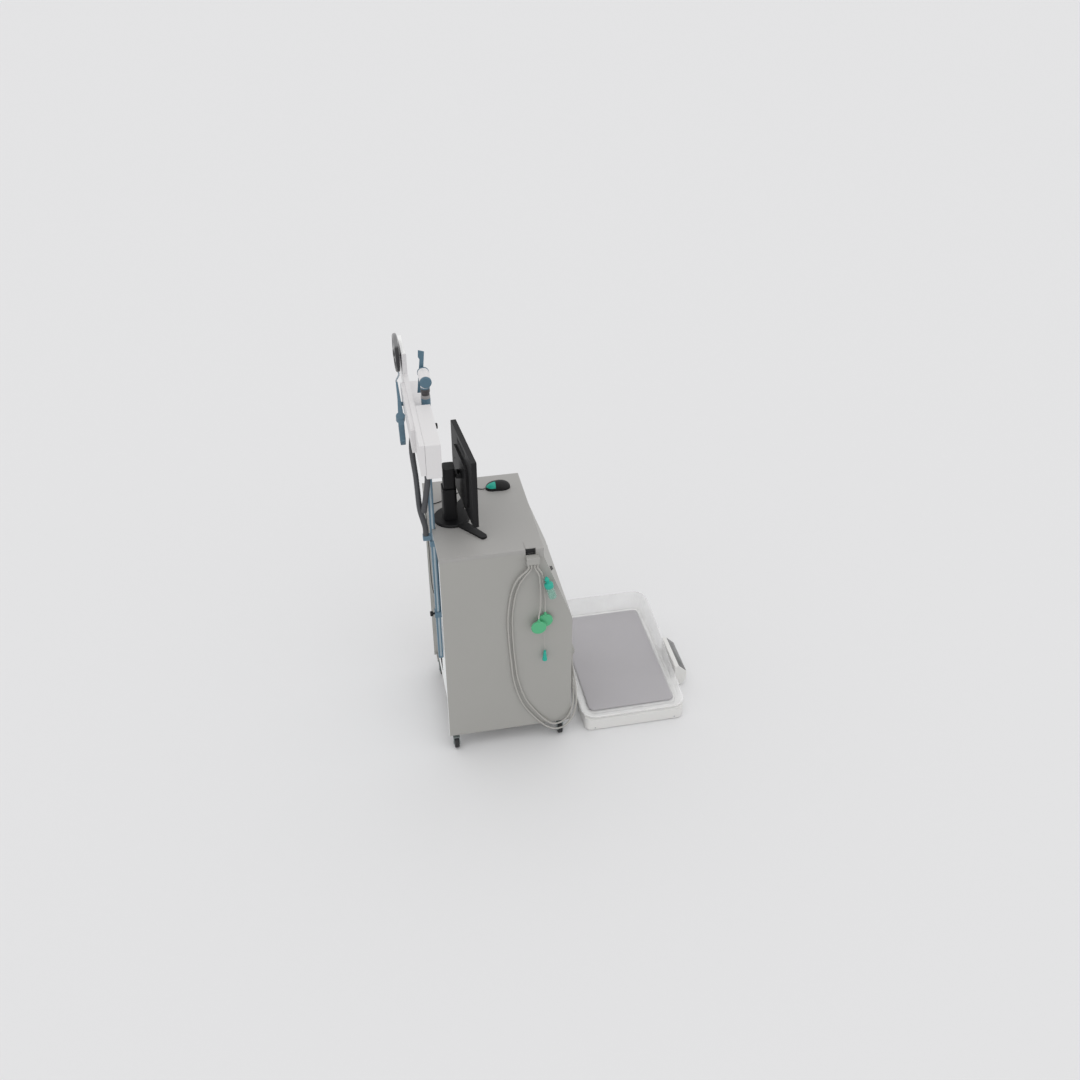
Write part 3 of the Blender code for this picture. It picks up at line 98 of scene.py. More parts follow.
class Finish:
    def __init__(self, name):
        self.material = bpy.data.materials.new(name)
        self.material.use_nodes = True
        self.tree = self.material.node_tree
        self.shader = self.tree.nodes["Principled BSDF"]

    def node(self, kind, settings=None, output=0, **inputs):
        made = self.tree.nodes.new(kind)
        for key, value in (settings or {}).items():
            if key == "stops":
                ramp = made.color_ramp
                while len(ramp.elements) < len(value):
                    ramp.elements.new(0.5)
                for stop, (position, colour) in zip(ramp.elements, value):
                    stop.position = position
                    stop.color = (*colour, 1.0)
            elif key == "interpolation":
                made.color_ramp.interpolation = value
            else:
                setattr(made, key, value)
        for key, value in inputs.items():
            socket = made.inputs[int(key[1:])] if key[0] == "i" and key[1:].isdigit() else made.inputs[key]
            self.feed(socket, value)
        return Value(self.tree, made.outputs[output])

    def feed(self, socket, value):
        if isinstance(value, Value):
            self.tree.links.new(value.socket, socket)
        elif isinstance(value, tuple) and len(value) == 3 and len(socket.default_value) == 4:
            socket.default_value = (*value, 1.0)
        else:
            socket.default_value = value

    def place(self):
        return self.node("ShaderNodeTexCoord", output=3)

    def noise(self, scale, detail=3.0, roughness=0.5, place=None):
        return self.node(
            "ShaderNodeTexNoise",
            Vector=place or self.place(), Scale=scale, Detail=detail, Roughness=roughness,
        )

    def mixed(self, share, first, second):
        return self.node(
            "ShaderNodeMix", {"data_type": "RGBA"}, output=2, i0=share, i6=first, i7=second
        )

    def bumped(self, height, strength, depth):
        return self.node("ShaderNodeBump", Strength=strength, Distance=depth, Height=height)

    def set(self, **inputs):
        for key, value in inputs.items():
            self.feed(self.shader.inputs[key.replace("_", " ")], value)
        return self.material


def shade(colour, factor):
    return tuple(min(1.0, part * factor) for part in colour)


def moulded(name, colour, roughness, grain, depth, mottle, metallic=0.0, coat=0.0, shine=0.5):
    # one recipe for painted, moulded and rubber surfaces: fine grain, slow mottling, uneven gloss
    finish = Finish(name)
    slow = finish.noise(7.0, 4.0, 0.6)
    fine = finish.noise(grain, 2.0, 0.5)
    worn = finish.noise(38.0, 5.0, 0.65)
    tone = finish.mixed(slow, shade(colour, 1 - mottle), shade(colour, 1 + mottle))
    return finish.set(
        Base_Color=tone,
        Roughness=roughness - 0.06 + 0.08 * worn + 0.05 * fine,
        Metallic=metallic,
        Coat_Weight=coat,
        Specular_IOR_Level=shine,
        Normal=finish.bumped(fine, 0.35, depth),
    )


palette = {
    "cabinetGrey": (0.385, 0.380, 0.360),
    "worktopGrey": (0.385, 0.378, 0.366),
    "backWhite": (0.86, 0.88, 0.88),
    "armWhite": (0.735, 0.722, 0.727),
    "mastBlue": (0.135, 0.22, 0.29),
    "slateBlue": (0.085, 0.165, 0.225),
    "softBlack": (0.0055, 0.0055, 0.0065),
    "darkGrey": (0.010, 0.010, 0.011),
    "hoseGrey": (0.075, 0.078, 0.085),
    "tubeBeige": (0.42, 0.41, 0.385),
    "teal": (0.012, 0.40, 0.30),
    "filterGreen": (0.09, 0.45, 0.22),
    "scaleWhite": (0.74, 0.735, 0.72),
    "matGrey": (0.445, 0.432, 0.450),
    "casterSteel": (0.28, 0.32, 0.32),
}


def laminate(name, colour):
    # satin board with a very fine pebble and faint rubbed patches
    finish = Finish(name)
    slow = finish.noise(2.2, 3.0, 0.55)
    pebble = finish.noise(1400.0, 2.0, 0.6)
    rubbed = finish.noise(11.0, 6.0, 0.7)
    tone = finish.mixed(slow, shade(colour, 0.965), shade(colour, 1.035))
    speck = finish.mixed(pebble * 0.12, tone, shade(colour, 0.7))
    return finish.set(
        Base_Color=speck,
        Roughness=0.40 + 0.10 * rubbed + 0.06 * pebble,
        Normal=finish.bumped(pebble, 0.25, 0.00005),
    )


def brushedPaint():
    # painted steel with a fine lengthwise draw and a few lighter scuffs
    finish = Finish("brushedPaint")
    colour = palette["mastBlue"]
    mapped = finish.node("ShaderNodeMapping", Vector=finish.place(), Scale=(900.0, 900.0, 14.0))
    drawn = finish.noise(1.0, 3.0, 0.6, mapped)
    scuff = finish.noise(55.0, 6.0, 0.75)
    mask = finish.node("ShaderNodeMapRange", Value=scuff, i1=0.62, i2=0.72)
    tone = finish.mixed(drawn * 0.5, colour, shade(colour, 1.22))
    marked = finish.mixed(mask * 0.35, tone, shade(colour, 1.7))
    return finish.set(
        Base_Color=marked,
        Roughness=0.33 + 0.10 * drawn + 0.08 * scuff,
        Metallic=0.35,
        Normal=finish.bumped(drawn, 0.2, 0.00003),
    )


def socketBands():
    # blue foot, pale collar and dark swivel ring, by height
    finish = Finish("socketBands")
    low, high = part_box("swivel_socket")
    height = finish.node("ShaderNodeSeparateXYZ", output=2, Vector=finish.place())
    share = (height - low[2]) * (1.0 / (high[2] - low[2]))
    stops = [
        (0.0, palette["slateBlue"]),
        (0.44, (0.30, 0.29, 0.29)),
        (0.60, (0.055, 0.050, 0.052)),
        (0.93, palette["slateBlue"]),
    ]
    tone = finish.node("ShaderNodeValToRGB", {"stops": stops, "interpolation": "CONSTANT"}, Fac=share)
    fine = finish.noise(700.0, 2.0, 0.5)
    return finish.set(Base_Color=tone, Roughness=0.38 + 0.08 * fine, Normal=finish.bumped(fine, 0.3, 0.00003))


def maskReflectionTone(name, roughness, edge, low, high):
    # black moulding with painted reflection: lighter grey towards the top and one end, with a soft border
    finish = Finish(name)
    bottom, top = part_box("mask_cushion")
    place = finish.place()
    height = finish.node("ShaderNodeSeparateXYZ", output=2, Vector=place)
    length = finish.node("ShaderNodeSeparateXYZ", output=0, Vector=place)
    share = (height - (bottom[2] + top[2]) / 2) * (0.75 / (top[2] - bottom[2]))
    share = share + (length - (bottom[0] + top[0]) / 2) * (0.60 / (top[0] - bottom[0]))
    cloudy = finish.noise(30.0, 4.0, 0.6)
    blend = finish.node("ShaderNodeMapRange", Value=share + cloudy * 0.06, i1=0.03 - edge, i2=0.09 + edge)
    fine = finish.noise(700.0, 2.0, 0.5)
    return finish.set(
        Base_Color=finish.mixed(blend, low, high),
        Roughness=roughness + 0.10 * cloudy,
        Coat_Weight=0.3,
        Normal=finish.bumped(fine, 0.3, 0.00003),
    )


def weave():
    # close woven cover for the mat: two crossed threads
    finish = Finish("weave")
    colour = palette["matGrey"]
    across, along = (
        finish.node(
            "ShaderNodeTexWave", {"bands_direction": way}, output=1,
            Vector=finish.place(), Scale=260.0, Distortion=0.4,
        )
        for way in ("X", "Y")
    )
    thread = across * 0.5 + along * 0.5
    slow = finish.noise(5.0, 4.0, 0.6)
    tone = finish.mixed(slow, shade(colour, 0.95), shade(colour, 1.05))
    woven = finish.mixed(thread * 0.35, tone, shade(colour, 0.72))
    return finish.set(
        Base_Color=woven,
        Roughness=0.80 + 0.12 * thread,
        Sheen_Weight=0.25,
        Sheen_Roughness=0.5,
        Normal=finish.bumped(thread, 0.35, 0.0002),
    )


def clearPlastic(name, colour, alpha, roughness=0.12, cloud=60.0):
    # see-through plastic with a little haze in it
    finish = Finish(name)
    haze = finish.noise(cloud, 3.0, 0.5)
    return finish.set(
        Base_Color=finish.mixed(haze, shade(colour, 0.92), shade(colour, 1.05)),
        Roughness=roughness + 0.08 * haze,
        Alpha=alpha + 0.12 * haze,
        Coat_Weight=0.4,
    )


def screenGlass(name, colour, roughness=0.16):
    # dark glass or film with faint smears
    finish = Finish(name)
    smear = finish.noise(16.0, 5.0, 0.7)
    return finish.set(
        Base_Color=finish.mixed(smear, shade(colour, 0.9), shade(colour, 1.15)),
        Roughness=roughness + 0.12 * smear,
        Coat_Weight=0.6,
        Coat_Roughness=0.08,
    )


print("materials")
laminateGrey = laminate("laminateSides", palette["cabinetGrey"])
laminateTop = laminate("laminateTop", palette["worktopGrey"])
backWhite = moulded("backBoard", palette["backWhite"], 0.5, 1200.0, 0.00003, 0.02)
armWhite = moulded("armShell", palette["armWhite"], 0.42, 1500.0, 0.00003, 0.018)
capWhite = moulded("capWhite", (0.93, 0.93, 0.925), 0.35, 1500.0, 0.00002, 0.01)
mastPaint = brushedPaint()
slate = moulded("slatePlastic", palette["slateBlue"], 0.42, 1100.0, 0.00004, 0.05)
monitorBlack = moulded("monitorShell", palette["softBlack"], 0.50, 1600.0, 0.00006, 0.10, shine=0.3)
darkPlastic = moulded("darkPlastic", palette["darkGrey"], 0.48, 1200.0, 0.00005, 0.08, shine=0.3)
# painted highlight colour for the mast's strips
mastHighlightPaint = moulded("mastHighlightPaint", (0.40, 0.47, 0.51), 0.4, 900.0, 0.00003, 0.05)
knobGrey = moulded("knobGrey", (0.10, 0.10, 0.10), 0.5, 1200.0, 0.00005, 0.06)
hoseRubber = moulded("hoseRubber", palette["hoseGrey"], 0.55, 800.0, 0.00005, 0.10)
tubeBeige = moulded("tubeVinyl", palette["tubeBeige"], 0.36, 500.0, 0.00002, 0.05, coat=0.15)
tealPlastic = moulded("tealPlastic", palette["teal"], 0.36, 900.0, 0.00003, 0.05)
filterPlastic = moulded("filterShell", palette["filterGreen"], 0.38, 700.0, 0.00003, 0.06)
trayShell = clearPlastic("trayShell", (0.96, 0.96, 0.965), 0.34, 0.12, 9.0)
scaleShell = moulded("scaleShell", palette["scaleWhite"], 0.45, 1300.0, 0.00004, 0.02)
casterPaint = moulded("casterPaint", palette["casterSteel"], 0.36, 500.0, 0.00003, 0.08, metallic=0.45)
wheelRubber = moulded("wheelRubber", (0.02, 0.02, 0.022), 0.62, 600.0, 0.00008, 0.15)
steel = moulded("screwSteel", (0.45, 0.46, 0.47), 0.32, 900.0, 0.00002, 0.05, metallic=0.9)
# both mask finishes carry painted reflection: grey over the black towards the top and one end
maskRubber = maskReflectionTone("maskSilicone", 0.30, 0.005, (0.010, 0.010, 0.012), (0.19, 0.19, 0.195))
maskShell = maskReflectionTone("maskShell", 0.24, 0.055, (0.012, 0.012, 0.014), (0.25, 0.25, 0.26))
stemClear = clearPlastic("stemClear", (0.35, 0.42, 0.48), 0.70)
cupClear = clearPlastic("cupClear", (0.30, 0.55, 0.46), 0.42)
moduleCase = moulded("moduleCase", (0.62, 0.63, 0.62), 0.5, 900.0, 0.00005, 0.03)
unitCase = moulded("unitCase", (0.10, 0.105, 0.11), 0.42, 500.0, 0.00004, 0.06, metallic=0.3)
matCover = weave()
bandsFinish = socketBands()
screenFace = screenGlass("screenFace", (0.012, 0.013, 0.016))
displayFace = screenGlass("displayFace", (0.115, 0.115, 0.118), 0.5)
lcdFace = screenGlass("lcdFace", (0.080, 0.088, 0.082), 0.5)
keyGrey = moulded("keyGrey", (0.15, 0.15, 0.155), 0.5, 900.0, 0.00003, 0.04)
shadowGap = moulded("shadowGap", (0.02, 0.02, 0.021), 0.8, 600.0, 0.00003, 0.05)

nodeFinishes = {
    laminateGrey: (
        "side_panel_left side_panel_right bottom_panel console_panel front_frame front_door hose_holder"
    ),
    laminateTop: "worktop",
    backWhite: "back_panel",
    unitCase: "computer_unit",
    moduleCase: "analyser_module",
    mastPaint: "mast mast_bracket",
    darkPlastic: "mast_knob arm_button mouse_shell mouse_right_button",
    knobGrey: "console_knob",
    armWhite: "arm_housing arm_rail flow_tube",
    bandsFinish: "swivel_socket",
    slate: "tube_cap_near tube_cap_far shutter_lever handpiece",
    stemClear: "mask_stem",
    monitorBlack: "monitor_base stand_sleeve stand_slider monitor_back monitor_front",
    tealPlastic: "mouse_left_button line_connector trap_head",
    filterPlastic: "filter_disc_near filter_disc_far",
    cupClear: "trap_cup",
    scaleShell: "scale_base display_housing",
    trayShell: "scale_tray",
    matCover: "tray_mat",
    maskRubber: "mask_cushion",
    maskShell: "mask_dome",
    hoseRubber: "patient_hose branch_hose mouse_cable",
    tubeBeige: "long_tube_outer long_tube_inner short_tube_near short_tube_far sampling_line",
}
for finishMaterial, names in nodeFinishes.items():
    for name in names.split():
        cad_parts[name].material_slots[0].material = finishMaterial
casterCorners = ("rear_left", "rear_right", "front_left", "front_right")
for corner in casterCorners:
    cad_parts["caster_fork_" + corner].material_slots[0].material = casterPaint
    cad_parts["caster_wheel_" + corner].material_slots[0].material = wheelRubber


# mesh helpers
def finishPiece(name, shape, material, body, smoothAngle=35.0):
    bmesh.ops.recalc_face_normals(shape, faces=shape.faces)
    mesh = bpy.data.meshes.new(name)
    shape.to_mesh(mesh)
    shape.free()
    mesh.shade_smooth()
    mesh.set_sharp_from_angle(angle=math.radians(smoothAngle))
    piece = bpy.data.objects.new(name, mesh)
    piece.data.materials.append(material)
    bpy.context.scene.collection.objects.link(piece)
    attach(piece, body)
    return piece


fineBevel = 0.0003


def corners(node):
    return [Vector(corner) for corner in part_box(node)]


def roundedBlock(shape, centre, size, bevel, turn=None):
    # a bevelled block added to a bmesh, turned about its own middle
    matrix = Matrix.Translation(centre) @ (turn or Matrix.Identity(4)) @ Matrix.Diagonal((*size, 1.0))
    made = bmesh.ops.create_cube(shape, size=1.0, matrix=matrix)
    edges = list({edge for vertex in made["verts"] for edge in vertex.link_edges})
    if bevel:
        bmesh.ops.bevel(
            shape, geom=edges, offset=bevel, segments=2, profile=0.5, affect="EDGES", material=-1
        )


def facing(place, towards):
    return Matrix.Translation(place) @ Vector(towards).to_track_quat("Z", "Y").to_matrix().to_4x4()


def screwHead(shape, place, towards, radius, rise=0.0009):
    # a low pan head with a sunk middle
    made = bmesh.ops.create_cone(
        shape, cap_ends=True, segments=20, radius1=radius, radius2=radius * 0.82, depth=rise,
        matrix=facing(Vector(place) + Vector(towards) * rise / 2, towards),
    )
    faces = {face for vertex in made["verts"] for face in vertex.link_faces}
    top = max(faces, key=lambda face: face.calc_center_median().dot(Vector(towards)))
    bmesh.ops.inset_region(shape, faces=[top], thickness=radius * 0.42)
    bmesh.ops.translate(shape, verts=top.verts, vec=-Vector(towards) * rise * 0.6)


# cords: the routes are the CAD's own, in metres from the middle of the cabinet's back
def alongCurve(points, spacing):
    ends = [2 * points[0] - points[1], *points, 2 * points[-1] - points[-2]]
    fine = []
    for a, b, c, d in zip(ends, ends[1:], ends[2:], ends[3:]):
        for step in range(16):
            t = step / 16
            fine.append(0.5 * (
                2 * b + (c - a) * t
                + (2 * a - 5 * b + 4 * c - d) * t * t
                + (3 * b - a - 3 * c + d) * t * t * t
            ))
    fine.append(points[-1])
    length = sum((q - p).length for p, q in zip(fine, fine[1:]))
    count = max(2, round(length / spacing))
    even, walked, target = [fine[0]], 0.0, length / count
    for p, q in zip(fine, fine[1:]):
        step = (q - p).length
        while walked + step >= target - 1e-9 and len(even) < count:
            even.append(p.lerp(q, (target - walked) / step))
            target += length / count
        walked += step
    return even + [points[-1]]


def tubeMesh(name, points, radius, sides=12):
    # a round tube swept along close points
    shape = bmesh.new()
    rings = []
    across = Vector((0, 0, 1))
    for index, place in enumerate(points):
        way = (points[min(index + 1, len(points) - 1)] - points[max(index - 1, 0)]).normalized()
        across = (across - way * across.dot(way)).normalized()
        other = way.cross(across)
        rings.append([
            shape.verts.new(place + radius * (math.cos(turn) * across + math.sin(turn) * other))
            for turn in (math.tau * side / sides for side in range(sides))
        ])
    for low, high in zip(rings, rings[1:]):
        for side in range(sides):
            following = (side + 1) % sides
            shape.faces.new((low[side], low[following], high[following], high[side]))
    shape.faces.new(rings[0][::-1])
    shape.faces.new(rings[-1])
    bmesh.ops.recalc_face_normals(shape, faces=shape.faces)
    mesh = bpy.data.meshes.new(name)
    shape.to_mesh(mesh)
    shape.free()
    mesh.shade_smooth()
    mesh.set_sharp_from_angle(angle=math.radians(60))
    return mesh


def cordPiece(name, route, radius, material, body, node, spacing, rib=None):
    # a round cord; rib = (pitch, depth) makes it a ringed hose, with its points a third of a pitch apart
    points = alongCurve([at(*point) for point in route], rib[0] / 3 if rib else spacing)
    curve = bpy.data.curves.new(name, "CURVE")
    curve.dimensions = "3D"
    curve.bevel_depth = radius
    curve.bevel_resolution = 4
    curve.use_fill_caps = True
    spline = curve.splines.new("POLY")
    spline.points.add(len(points) - 1)
    for index, (point, place) in enumerate(zip(spline.points, points)):
        point.co = (*place, 1.0)
        if rib:
            point.radius = 1.0 - rib[1] * (0.0, 1.0, 0.55)[index % 3]
    spline.use_smooth = True
    piece = bpy.data.objects.new(name, curve)
    piece.data.materials.append(material)
    bpy.context.scene.collection.objects.link(piece)
    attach(piece, body)
    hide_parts(node)
    length = sum((q - p).length for p, q in zip(points, points[1:]))
    return piece, points, length


def side(depth, level, reach):
    return (-halfWidth - reach, -depth, level)


print("cords")
tubes = {
    "longRadius": 0.004,
    "shortRadius": 0.0035,
    "lineRadius": 0.0011,
    "longSpacing": 0.008,
    "shortSpacing": 0.006,
    "lineSpacing": 0.004,
    "gap": 0.0003,  # left between a cord's end and what it fits into
    "near": 0.0065,  # from the side panel to the middle of a tube that lies on it
    "holderReach": 0.018,
    "barbLength": 0.014,
}
ports = {"across": (0.030, 0.044), "front": -0.5705, "level": 0.468, "straight": 0.022}
gap = tubes["gap"]
near = tubes["near"]
hold = tubes["holderReach"]
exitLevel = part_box("hose_holder")[0][2] - 2 * gap
portX = [-halfWidth + across for across in ports["across"]]
portEnd = ports["level"] - 2 * gap
longRoutes = (
    [
        side(0.366, exitLevel, hold),
        side(0.366, exitLevel - 0.026, hold),
        side(0.335, 0.965, 0.014),
        side(0.308, 0.922, 0.012),
        side(0.290, 0.850, near),
        side(0.278, 0.740, near),
        side(0.280, 0.620, near),
        side(0.288, 0.500, near),
        side(0.300, 0.370, near),
        side(0.336, 0.235, near),
        side(0.400, 0.125, near),
        side(0.462, 0.062, near + 0.006),
        side(0.517, 0.054, near + 0.008),
        side(0.562, 0.098, near + 0.006),
        side(0.584, 0.170, near + 0.001),
        (-halfWidth + 0.003, -0.5875, 0.235),
        (-halfWidth + 0.015, -0.5830, 0.300),
        (-halfWidth + 0.026, -0.5750, 0.370),
        (portX[0], ports["front"], 0.425),
        (portX[0], ports["front"], portEnd - ports["straight"]),
        (portX[0], ports["front"], portEnd),
    ],
    [
        side(0.378, exitLevel, hold),
        side(0.378, exitLevel - 0.026, hold),
        side(0.351, 0.958, 0.014),
        side(0.326, 0.912, 0.012),
        side(0.308, 0.840, near),
        side(0.297, 0.740, near),
        side(0.298, 0.620, near),
        side(0.305, 0.500, near),
        side(0.318, 0.380, near),
        side(0.352, 0.255, near),
        side(0.412, 0.150, near),
        side(0.466, 0.090, near + 0.005),
        side(0.512, 0.086, near + 0.006),
        side(0.550, 0.122, near + 0.004),
        side(0.571, 0.185, near - 0.003),
        (-halfWidth + 0.010, -0.5760, 0.245),
        (-halfWidth + 0.026, -0.5735, 0.310),
        (-halfWidth + 0.039, -0.5715, 0.370),
        (portX[1], ports["front"], 0.425),
        (portX[1], ports["front"], portEnd - ports["straight"]),
        (portX[1], ports["front"], portEnd),
    ],
)
longNodes = (("longTubeOuter", "long_tube_outer"), ("longTubeInner", "long_tube_inner"))
for (name, node), route in zip(longNodes, longRoutes):
    piece, points, length = cordPiece(
        name, route, tubes["longRadius"], tubeBeige, "cabinet", node, tubes["longSpacing"]
    )

discs = {"nearDepth": 0.4068, "nearReach": 0.032, "farDepth": 0.4386, "farReach": 0.014, "straight": 0.024}
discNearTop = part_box("filter_disc_near")[1][2]
discFarLow, discFarTop = (corner[2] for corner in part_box("filter_disc_far"))
shortRoutes = (
    [
        side(0.394, exitLevel, hold),
        side(0.394, exitLevel - 0.024, hold),
        side(0.410, 0.965, 0.022),
        side(0.416, 0.900, 0.026),
        side(0.416, 0.820, 0.030),
        side(0.411, 0.775, 0.032),
        side(discs["nearDepth"], discNearTop + discs["straight"], discs["nearReach"]),
        side(discs["nearDepth"], discNearTop + 2 * gap, discs["nearReach"]),
    ],
    [
        side(0.406, exitLevel, hold),
        side(0.406, exitLevel - 0.024, hold),
        side(0.424, 0.965, 0.016),
        side(0.432, 0.900, 0.014),
        side(0.437, 0.830, 0.014),
        side(discs["farDepth"], discFarTop + discs["straight"], discs["farReach"]),
        side(discs["farDepth"], discFarTop + 2 * gap, discs["farReach"]),
    ],
)


def barb(name, place, radius, length):
    # a stepped push-fit nipple over the end of a tube
    shape = bmesh.new()
    for share, wide in ((0.0, 1.9), (0.34, 1.55), (0.67, 1.25)):
        middle = Vector(place) + Vector((0, 0, length * (share + 0.18)))
        bmesh.ops.create_cone(
            shape, cap_ends=True, segments=24, radius1=radius * wide, radius2=radius * (wide - 0.22),
            depth=length * 0.36, matrix=Matrix.Translation(middle),
        )
    return finishPiece(name, shape, filterPlastic, "cabinet")


barbs = [
    barb(name, at(*route[-1]), tubes["shortRadius"], tubes["barbLength"])
    for name, route in zip(("discBarbNear", "discBarbFar"), shortRoutes)
]
for name, node, route, disc, nipple in zip(
    ("shortTubeNear", "shortTubeFar"),
    ("short_tube_near", "short_tube_far"),
    shortRoutes,
    ("filter_disc_near", "filter_disc_far"),
    barbs,
):
    piece, points, length = cordPiece(
        name, route, tubes["shortRadius"], tubeBeige, "cabinet", node, tubes["shortSpacing"]
    )

discFoot = discFarLow - gap
connector = {"depth": 0.4365, "reach": 0.017, "top": 0.516 + 0.026}
lineRoute = [
    side(discs["farDepth"], discFoot, discs["farReach"]),
    side(discs["farDepth"], discFoot - 0.010, 0.0145),
    side(0.436, 0.630, 0.016),
    side(0.4345, 0.590, connector["reach"]),
    side(connector["depth"], 0.555, connector["reach"]),
    side(connector["depth"], connector["top"] + gap, connector["reach"]),
]
piece, points, length = cordPiece(
    "samplingLine", lineRoute, tubes["lineRadius"], tubeBeige, "cabinet", "sampling_line",
    tubes["lineSpacing"],
)

mouseCord = {"radius": 0.0017, "lift": 0.0006, "edge": 0.116, "spacing": 0.003}
mouse = {"side": 0.190, "middle": -0.326, "length": 0.112}
table = topLevel + mouseCord["radius"] + mouseCord["lift"]
nose = mouse["middle"] + mouse["length"] / 2
mouseX = mouse["side"]
overEdge = mouseCord["edge"]  # where the cable hangs over the worktop's rear edge
cableExit = (-0.020, -0.018, 0.690)
mouseRoute = [
    (mouseX, nose + 0.001, table + 0.001),
    (mouseX, nose + 0.014, table),
    (mouseX + 0.006, nose + 0.030, table),
    (mouseX + 0.017, nose + 0.048, table),
    (mouseX + 0.019, nose + 0.070, table),
    (0.195, -0.165, table),
    (0.165, -0.120, table),
    (0.140, -0.080, table),
    (0.122, -0.045, table),
    (0.117, -0.014, table),
    (overEdge, 0.000, table + 0.0010),
    (overEdge, 0.0065, table - 0.0010),
    (overEdge, 0.0095, table - 0.0080),
    (overEdge, 0.0090, table - 0.0200),
    (0.114, 0.0055, 1.020),
    (0.112, 0.005, 0.930),
    (0.104, 0.004, 0.850),
    (0.075, 0.006, 0.775),
    (0.035, 0.008, 0.722),
    (cableExit[0] + 0.016, 0.006, cableExit[2] + 0.010),
    (cableExit[0] + 0.003, -0.001, cableExit[2] + 0.001),
    (cableExit[0], -0.009, cableExit[2]),
    (cableExit[0], cableExit[1] + 2 * gap, cableExit[2]),
]
points = alongCurve([at(*point) for point in mouseRoute[::-1]], mouseCord["spacing"])
length = sum((q - p).length for p, q in zip(points, points[1:]))
piece = bpy.data.objects.new("mouseCable", tubeMesh("mouseCable", points, mouseCord["radius"]))
piece.data.materials.append(darkPlastic)
bpy.context.scene.collection.objects.link(piece)
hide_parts("mouse_cable")
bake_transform(piece)

hose = {"radius": 0.0125, "pitch": 0.0062, "depth": 0.17, "along": 0.370, "straight": 0.034}
mastSize = {"x": -0.057, "y": -0.003, "half": 0.011, "clipTop": 1.051, "clipGap": 0.0055}
branch = {"x": -0.096, "y": 0.007, "top": 1.430, "straight": 0.040}
railLow, railHigh = corners("arm_rail")
railDepth, railRise = 0.020, 0.06
slope = Vector((railHigh.x - railLow.x, 0, railRise)).normalized()
leaving = Vector((slope.z, 0, -slope.x))
railStart = Vector((railLow.x - origin.x, railDepth + hose["radius"] + 0.001, railLow.z))
hoseStart = railStart + slope * hose["along"] + leaving * 2 * gap
clipY = mastSize["y"] + mastSize["half"] + hose["radius"] + mastSize["clipGap"]
hoseRoute = [
    tuple(hoseStart),
    tuple(hoseStart + leaving * hose["straight"]),
    (0.133, 0.0410, 1.412),
    (0.085, 0.0480, 1.390),
    (0.030, 0.0490, 1.362),
    (-0.010, 0.047, 1.322),
    (-0.042, 0.0465, 1.268),
    (-0.060, 0.044, 1.190),
    (-0.062, 0.033, 1.130),
    (mastSize["x"], clipY, mastSize["clipTop"] + 0.040),
    (mastSize["x"], clipY, mastSize["clipTop"] + 2 * gap),
]
branchRoute = [
    (-0.086, 0.029, 1.190),
    (-0.088, 0.026, 1.215),
    (-0.093, 0.016, 1.280),
    (branch["x"], branch["y"], 1.345),
    (branch["x"], branch["y"], branch["top"] - branch["straight"]),
    (branch["x"], branch["y"], branch["top"] - gap),
]
hoses = (("patientHose", "patient_hose", hoseRoute), ("branchHose", "branch_hose", branchRoute[::-1]))
for name, node, route in hoses:
    rib = (hose["pitch"], hose["depth"])
    piece, points, length = cordPiece(name, route, hose["radius"], hoseRubber, "arm", node, None, rib)

# monitor: glass, back vents, screws and keys
print("monitor")
monitor = {
    "width": 0.367,
    "yaw": 5.1,
    "border": (0.0308, 0.0368),  # the bezel's two sides together, its top and bottom together
    "glass": 0.0008,
    "glassBack": 0.0015,
    "glassRise": 0.003,
    "shellBack": 0.0033 + 0.016,  # the rear shell's back, from the bezel's middle
}
vent = {"count": 16, "pitch": 0.0085, "size": (0.0032, 0.0008, 0.022), "belowTop": 0.030, "proud": 0.0002}
backScrew = {"x": 0.0825, "levels": (-0.060, 0.030), "radius": 0.0036, "back": 0.010}
key = {
    "count": 5,
    "first": 0.100,
    "pitch": 0.014,
    "size": (0.0090, 0.0008, 0.0036),
    "front": -0.0031,
    "low": 0.0085,
}
frontLow, frontHigh = corners("monitor_front")
screenTurn = Matrix.Rotation(math.radians(monitor["yaw"]), 4, "Z")
screenMiddle = (frontLow + frontHigh) / 2
screenHeight = frontHigh.z - frontLow.z


def onScreen(x, y, z):
    # x along the screen, y out of its back, z up, from the bezel's middle
    return screenMiddle + screenTurn @ Vector((x, y, z))


shape = bmesh.new()
roundedBlock(
    shape,
    onScreen(0, -monitor["glassBack"] - monitor["glass"] / 2, monitor["glassRise"]),
    (monitor["width"] - monitor["border"][0], monitor["glass"], screenHeight - monitor["border"][1]),
    fineBevel,
    screenTurn,
)
glass = finishPiece("screenGlass", shape, screenFace, "monitor_head")

shape = bmesh.new()
for index in range(vent["count"]):
    x = (index - (vent["count"] - 1) / 2) * vent["pitch"]
    middle = onScreen(x, monitor["shellBack"] + vent["proud"], screenHeight / 2 - vent["belowTop"])
    roundedBlock(shape, middle, vent["size"], fineBevel, screenTurn)
vents = finishPiece("backVents", shape, shadowGap, "monitor_head")

shape = bmesh.new()
for x in (-backScrew["x"], backScrew["x"]):
    for z in backScrew["levels"]:
        place = onScreen(x, monitor["shellBack"] + backScrew["back"], z)
        screwHead(shape, place, screenTurn.to_3x3() @ Vector((0, 1, 0)), backScrew["radius"])
screws = finishPiece("backScrews", shape, darkPlastic, "monitor_head")

# keys on the bezel's lower edge
shape = bmesh.new()
for index in range(key["count"]):
    middle = onScreen(key["first"] + index * key["pitch"], key["front"], -screenHeight / 2 + key["low"])
    roundedBlock(shape, middle, key["size"], fineBevel, screenTurn)
keys = finishPiece("screenKeys", shape, darkPlastic, "monitor_head")

